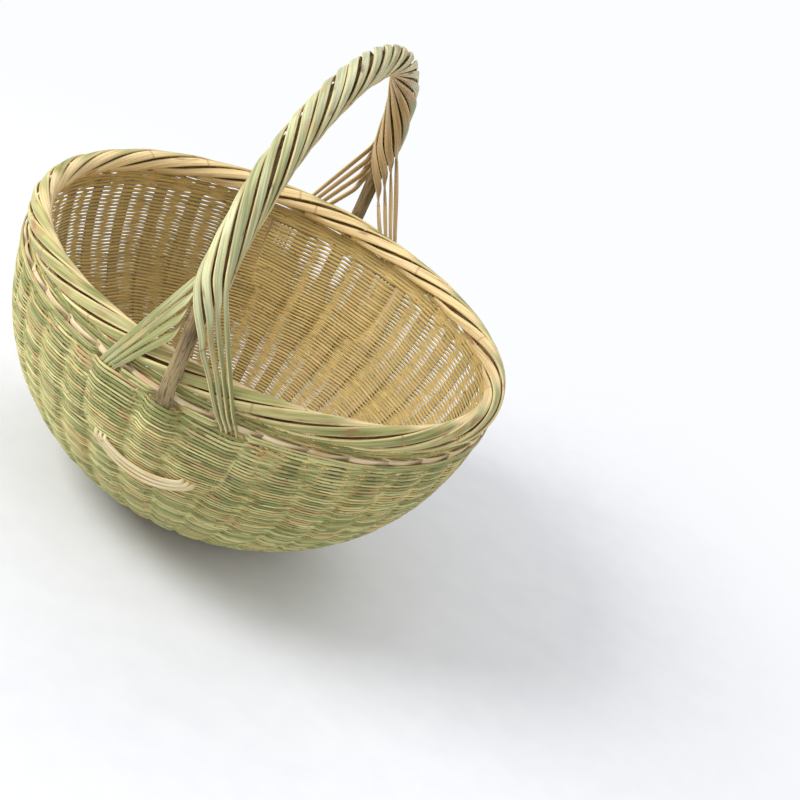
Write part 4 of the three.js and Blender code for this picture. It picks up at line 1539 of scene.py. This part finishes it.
@dataclass
class HandleRibbons(Maker):
    """The flat ribbons twisted round the stick; at each foot they part into two legs behind the weave.

    Rolls are the degrees from outward that a leg's ribbon faces where it leaves the stick, on its way down
    and where it is tucked. A tuck is given by bands below the top of the weave, width and thickness.
    """

    SEED: ClassVar[int] = 89
    arch: HandleArch
    splints: int = 8
    twist: float = 765.0
    away: float = 9.95
    away_ripple: float = 0.25
    away_rate: float = 17.0
    width: float = 6.2
    wrap_widths: Span = (5.7, 6.6)
    width_ripple: float = 0.35
    width_rate: float = 14.0
    thickness: float = 2.0
    leans: Span = (4.0, 16.0)
    waver: float = 3.0
    waver_rates: Span = (11.0, 23.0)
    waver_second: float = 0.6
    wrap_stations: int = 148
    step: float = 2.2
    rounding: float = 6.0
    unwind_step: float = 22.5
    unwind_run: float = 6.6
    leg_angle: float = 15.0
    leg_pitch: float = 3.35
    outer_leg_width: float = 4.3
    inner_leg_width: float = 5.7
    leg_thickness: float = 1.5
    leg_stations: int = 9
    leg_shares: Span = (0.12, 0.94)
    passing_width: float = 2.7
    tucks: tuple[Triple, ...] = ((0.0, 2.6, 1.4), (1.0, 1.8, 0.9), (1.9, 1.6, 0.7))
    tuck_offset: float = 1.5
    outer_rolls: Triple = (52.0, 36.0, 64.0)
    inner_rolls: Triple = (308.0, 338.0, 348.0)
    roll_shares: tuple[float, ...] = (0.0, 0.35, 0.6, 1.0)
    rim_pass: float = 2.0
    leg_depth: float = 1.1
    clearance: float = 0.3
    far_skin: float = 0.15
    least_skin: float = 0.1
    green_sides: Span = (-0.75, 0.05)
    tones: Span = (0.35, 0.95)
    tone_ripple: float = 0.2
    tone_length: float = 47.0
    leg_tone: float = -0.6
    leg_runs: Span = (150.0, 90.0)

    def leg_facing(self, foot: Foot, place: Array, roll: float) -> Array:
        """The direction a leg's ribbon faces.

        Args:
            foot: Which foot.
            place: The ribbon's place.
            roll: Degrees from outward, wound the way the ribbon winds.

        Returns:
            The direction.
        """
        flat = unit(np.array([place[0], place[1], 0.0]))
        across = foot.value * np.array([flat[1], -flat[0], 0.0])
        return turned(flat, across, math.radians(roll) * -foot.value)

    def skin(self, foot: Foot) -> float:
        """How much skin the ribbons of a foot show."""
        return 1.0 if foot is Foot.NEAR else self.far_skin

    def wrapped(self, foot: Foot, wound: float, steps: int, roll: float, leg_width: float) -> Array:
        """Key sections of one ribbon from the split to where it leaves the side of the stick.

        Args:
            foot: Which foot.
            wound: Degrees from outward at the split, the way the ribbon winds.
            steps: Half places that it winds on.
            roll: Degrees that it faces where it leaves.
            leg_width: Its width there.

        Returns:
            Rows of centre, facing direction, width, thickness and how much skin shows.
        """
        run = np.linspace(0.0, steps * self.unwind_run, 2 * steps + 1)
        share = (self.arch.split_height - run) / self.arch.length
        centre, out, across = self.arch.at(share if foot is Foot.NEAR else 1.0 - share)
        share = run / run[-1]
        angle = np.radians(wound + run / self.unwind_run * self.unwind_step) * -foot.value
        centre = centre + turned(out, across, angle) * self.away
        facing = turned(out, across, np.radians(wound + (roll - wound) * share) * -foot.value)
        width = self.width + (leg_width - self.width) * share
        thickness = self.thickness + (self.leg_thickness - self.thickness) * share
        return np.column_stack([centre, facing, width, thickness, np.full(len(run), self.skin(foot))])

    def leg(self, foot: Foot, turn: float) -> Array:
        """Key sections of one ribbon below the split, from the split down to its tucked tip.

        Args:
            foot: Which foot.
            turn: Degrees from outward at the split, the way the ribbon winds.

        Returns:
            Rows of centre, facing direction, width, thickness and how much skin shows.
        """
        body = self.body
        wound = (turn + 90.0) % 360.0 - 90.0
        outer = wound < 90.0
        steps = round(((90.0 if outer else 270.0) - wound) / self.unwind_step)
        rolls = self.outer_rolls if outer else self.inner_rolls
        leg_width = self.outer_leg_width if outer else self.inner_leg_width
        rows = self.wrapped(foot, wound, steps, rolls[0], leg_width)
        side = -foot.value if outer else foot.value
        middle = (self.splints / 2.0 - 1.0) / 2.0
        beyond = (middle - (steps - 1) / 2.0) * self.leg_pitch
        skin = self.skin(foot)
        tucked = []
        for below, width, thickness in self.tucks:
            offset = self.tuck_offset if below < 1.0 else 0.0
            radius, _, height = body.point(body.band_angle(below), 0.0, offset)
            from_foot = math.radians(self.leg_angle) + beyond / radius
            place = around(foot.value * (math.pi / 2.0 - side * from_foot), radius, height)
            tucked.append([*place, *self.leg_facing(foot, place, rolls[2]), width, thickness, skin])
        start, tuck = rows[-1, :3], np.array(tucked[0][:3])
        passing = body.rim_radius + body.rim_half_width + self.clearance + self.leg_depth
        above = body.rim_height + body.rim_half_height + self.rim_pass
        below = body.rim_height - body.rim_half_height
        spread = []
        for share in np.linspace(*self.leg_shares, self.leg_stations):
            place = start + (tuck - start) * share
            outside = foot.value * math.sqrt(passing**2 - place[0] ** 2)
            place[1] = start[1] + (outside - start[1]) * float(ease(place[2], start[2], above))
            place[1] = place[1] + (tuck[1] - place[1]) * float(ease(place[2], below, tuck[2]))
            roll = float(np.interp(share, self.roll_shares, (rolls[0], rolls[1], rolls[1], rolls[2])))
            width = leg_width + (self.passing_width - leg_width) * share
            spread.append([*place, *self.leg_facing(foot, place, roll), width, self.leg_thickness, skin])
        return np.vstack([rows, spread, tucked])

    def wrap(self, start: float) -> Array:
        """Sections of one ribbon round the stick between the two splits.

        Args:
            start: Degrees from outward where it begins.

        Returns:
            Rows of centre, facing direction, width, thickness and how much skin shows.
        """
        share = np.linspace(0.0, 1.0, self.wrap_stations + 2)[1:-1]
        first, second = (self.ripple(share * rate) for rate in self.waver_rates)
        wave = (first + self.waver_second * second) * np.sin(math.pi * share)
        turns = np.radians(start - self.twist * share + self.waver * wave)
        split = self.arch.split
        centre, out, across = self.arch.at(split + (1.0 - 2.0 * split) * share)
        facing = turned(out, across, turns)
        away = self.away + self.away_ripple * self.ripple(share * self.away_rate)
        width = self.vary(self.wrap_widths) + self.width_ripple * self.ripple(share * self.width_rate)
        thickness = np.full(len(share), self.thickness)
        green = ease(np.cos(turns), *self.green_sides)
        return np.column_stack([centre + facing * away[:, None], facing, width, thickness, green])

    def build(self) -> None:
        """Builds the ribbons, each from the tip of its near leg to the tip of its far one."""
        for number in range(self.splints):
            start = (number + 0.5) / self.splints * 360.0
            near = self.leg(Foot.NEAR, start)[::-1]
            far = self.leg(Foot.FAR, self.twist - start)
            rows = softened(np.vstack([near, self.wrap(start), far]), self.step, self.rounding)
            lean = self.vary(self.leans)
            centre, normals, width, thickness = rows[:, :3], unit(rows[:, 3:6]), rows[:, 6], rows[:, 7]
            skin = self.least_skin + (1.0 - self.least_skin) * np.clip(rows[:, 8], 0.0, 1.0)
            run = np.arange(len(rows)) * self.step
            in_leg = ease(np.minimum(run, run[-1] - run), *self.leg_runs)
            tone = self.vary(self.tones) + self.tone_ripple * self.ripple(run / self.tone_length)
            tone = np.clip(tone + self.leg_tone * in_leg, 0.0, 1.0)
            strip = Sweep.strip(RIBBON, centre, normals, width, thickness, skin, tone, self.grain(), lean)
            name, node = f"handle_ribbon_{number + 1}", f"handle_splint_{number + 1}"
            self.workshop.piece(name, Slot.HANDLE, [strip], node)


@dataclass
class Loops(Maker):
    """Loops of splint that show again on the wall below each foot."""

    SEED: ClassVar[int] = 97
    strands: int = 3
    width: float = 3.4
    pitch: float = 3.7
    first_place: float = 0.42
    thickness: float = 1.8
    half_span: float = 28.0
    end_depth: float = 73.0
    sag: float = 7.0
    taper: float = 1.6
    offset: float = 3.4
    bow: float = 0.2
    dive: float = 3.6
    dive_zone: Span = (0.3, -0.08)
    ends: Span = (-0.13, 1.13)
    stations: int = 60
    tones: Span = (0.3, 0.9)

    def build(self) -> None:
        """Builds the loops of both feet."""
        turn = np.linspace(*self.ends, self.stations) * math.pi
        sine = np.sin(turn)
        drop = np.sign(sine) * np.abs(sine) ** self.taper
        offset = self.offset + self.bow * sine - self.dive * ease(sine, *self.dive_zone)
        for foot, side in ((Foot.NEAR, "front"), (Foot.FAR, "back")):
            for number in range(self.strands):
                beyond = (number + self.first_place) * self.pitch
                angle = self.body.angle_at(self.end_depth + (self.sag + beyond) * drop)
                reach = (self.half_span + beyond) * np.cos(turn)
                azimuth = foot.value * math.pi / 2.0 - reach / self.body.radius(angle)
                rows = self.body.point(angle, azimuth, offset)
                normals = around(azimuth, *self.body.normal(angle))
                tone = self.vary(self.tones)
                strip = Sweep.strip(
                    RIBBON, rows, normals, self.width, self.thickness, 1.0, tone, self.grain()
                )
                name, node = f"{side}_loop_strand_{number + 1}", f"{side}_loop_{number + 1}"
                self.workshop.piece(name, Slot.LOOP, [strip], node)


@dataclass(frozen=True)
class Lamp:
    """A large soft lamp that looks at the basket, with its place, its aim and its side in metres."""

    name: str
    place: Triple
    side: float
    power: float
    aim: Triple = (0.0, 0.0, 0.18)

    def hang(self) -> None:
        """Hangs the lamp."""
        light = bpy.data.lights.new(self.name, "AREA")
        light.size = self.side
        light.energy = self.power
        lamp = placed(self.name, light)
        way = Vector(self.aim) - Vector(self.place)
        lamp.rotation_euler = way.to_track_quat("-Z", "Y").to_euler()
        lamp.location = self.place


@dataclass(frozen=True)
class Studio:
    """The camera, the lamps, the pale floor and the surrounding light."""

    place: Triple = (238.95, -1251.66, 757.88)
    back: Triple = (0.08847, -0.8966, 0.43391)
    view_angle: float = 23.0009
    roll: float = 27.095
    sensor_width: float = 36.0
    farthest: float = 50.0
    floor_rings: tuple[float, ...] = (0.3, 0.6, 1.2, 2.5, 9.0)
    floor_sides: int = 96
    floor_paints: tuple[Paint, Paint] = ((238, 240, 246), (246, 248, 252))
    floor_grain: Triple = (40.0, 40.0, 40.0)
    floor_roughness: float = 0.9
    floor_shine: float = 0.1
    shadow_ends: Span = (0.3, 0.75)
    pale: Paint = (252, 253, 255)
    white: Paint = (255, 255, 255)
    sky_strength: float = 0.56
    lamps: tuple[Lamp, ...] = (
        Lamp("key lamp", (-1.5, -0.9, 1.5), 1.0, 38.5),
        Lamp("side lamp", (1.5, -0.6, 1.3), 1.2, 3.0),
        Lamp("back lamp", (0.2, 1.6, 1.5), 1.4, 10.5),
    )

    def camera(self) -> None:
        """Places the camera."""
        back = Vector(self.back).normalized()
        level = Vector((0.0, 0.0, 1.0)).cross(back).normalized()
        upright = back.cross(level)
        turn = math.radians(self.roll)
        right = level * math.cos(turn) + upright * math.sin(turn)
        up = upright * math.cos(turn) - level * math.sin(turn)
        lens = bpy.data.cameras.new("photo view")
        lens.sensor_fit = "HORIZONTAL"
        lens.sensor_width = self.sensor_width
        lens.angle = math.radians(self.view_angle)
        lens.clip_end = self.farthest
        stand = Matrix((right, up, back)).transposed().to_4x4()
        stand.translation = Vector(self.place) * MM
        eye = placed("photo view", lens)
        eye.matrix_world = stand
        bpy.context.scene.camera = eye

    def floor_mesh(self) -> bpy.types.Mesh:
        """A round sheet of rings, closer together near the basket.

        Returns:
            The sheet.
        """
        sides = self.floor_sides
        circle = around(np.arange(sides) / sides * FULL_TURN, 1.0, 0.0)
        points = [(0.0, 0.0, 0.0)]
        for radius in self.floor_rings:
            points += (radius * circle).tolist()
        faces = [[0, 1 + k, 1 + (k + 1) % sides] for k in range(sides)]
        for ring in range(len(self.floor_rings) - 1):
            low, high = 1 + ring * sides, 1 + (ring + 1) * sides
            for k in range(sides):
                after = (k + 1) % sides
                faces.append([low + k, high + k, high + after, low + after])
        mesh = bpy.data.meshes.new("studio_floor")
        mesh.from_pydata(points, [], faces)
        return mesh

    def floor(self) -> None:
        """Lays the pale floor, which shows the basket's shadow and is plain farther out."""
        made = bpy.data.materials.new("pale floor")
        made.use_nodes = True
        graph = Graph(made.node_tree)
        shader = made.node_tree.nodes["Principled BSDF"]
        shader.inputs["Roughness"].default_value = self.floor_roughness
        shader.inputs["Specular IOR Level"].default_value = self.floor_shine
        place = graph.node("NewGeometry").outputs["Position"]
        dark, light = (tint(paint) for paint in self.floor_paints)
        grains = graph.noise(place, self.floor_grain, 2.0)
        graph.feed(shader.inputs["Base Color"], graph.mix(grains, dark, light))
        distance = graph.node("VectorMath", place, operation="LENGTH").outputs["Value"]
        seen = graph.node("LightPath").outputs["Is Camera Ray"]
        far = graph.math("MULTIPLY", graph.rise(distance, *self.shadow_ends), seen)
        glow = graph.result("Emission", tint(self.pale))
        blend = graph.result("MixShader", far, shader.outputs[0], glow)
        graph.feed(made.node_tree.nodes["Material Output"].inputs["Surface"], blend)
        mesh = self.floor_mesh()
        mesh.materials.append(made)
        floor = placed("studio_floor", mesh)

    def sky(self) -> None:
        """Sets the soft light from all round and the pale background behind it."""
        world = bpy.data.worlds.new("studio light")
        world.use_nodes = True
        bpy.context.scene.world = world
        graph = Graph(world.node_tree)
        light = world.node_tree.nodes["Background"]
        light.inputs["Color"].default_value = tint(self.white)
        light.inputs["Strength"].default_value = self.sky_strength
        backdrop = graph.result("Background", tint(self.pale))
        seen = graph.node("LightPath").outputs["Is Camera Ray"]
        blend = graph.result("MixShader", seen, light.outputs[0], backdrop)
        graph.feed(world.node_tree.nodes["World Output"].inputs["Surface"], blend)

    def build(self) -> None:
        """Sets up the studio."""
        bpy.context.scene.view_settings.view_transform = "Standard"
        self.camera()
        self.floor()
        self.sky()
        for lamp in self.lamps:
            lamp.hang()


def main() -> None:
    """Builds the studio and every sub-assembly of the basket."""
    logging.basicConfig(level=logging.INFO, format="%(message)s")
    Studio().build()
    workshop = Workshop()
    body = BodyShape()
    arch = HandleArch(body)
    for maker in (BaseRounds, Stakes, WeftRows, Rim):
        maker(workshop, body).build()
    for maker in (HandleStick, HandleRibbons):
        maker(workshop, body, arch).build()
    Loops(workshop, body).build()


if __name__ == "__main__":
    main()
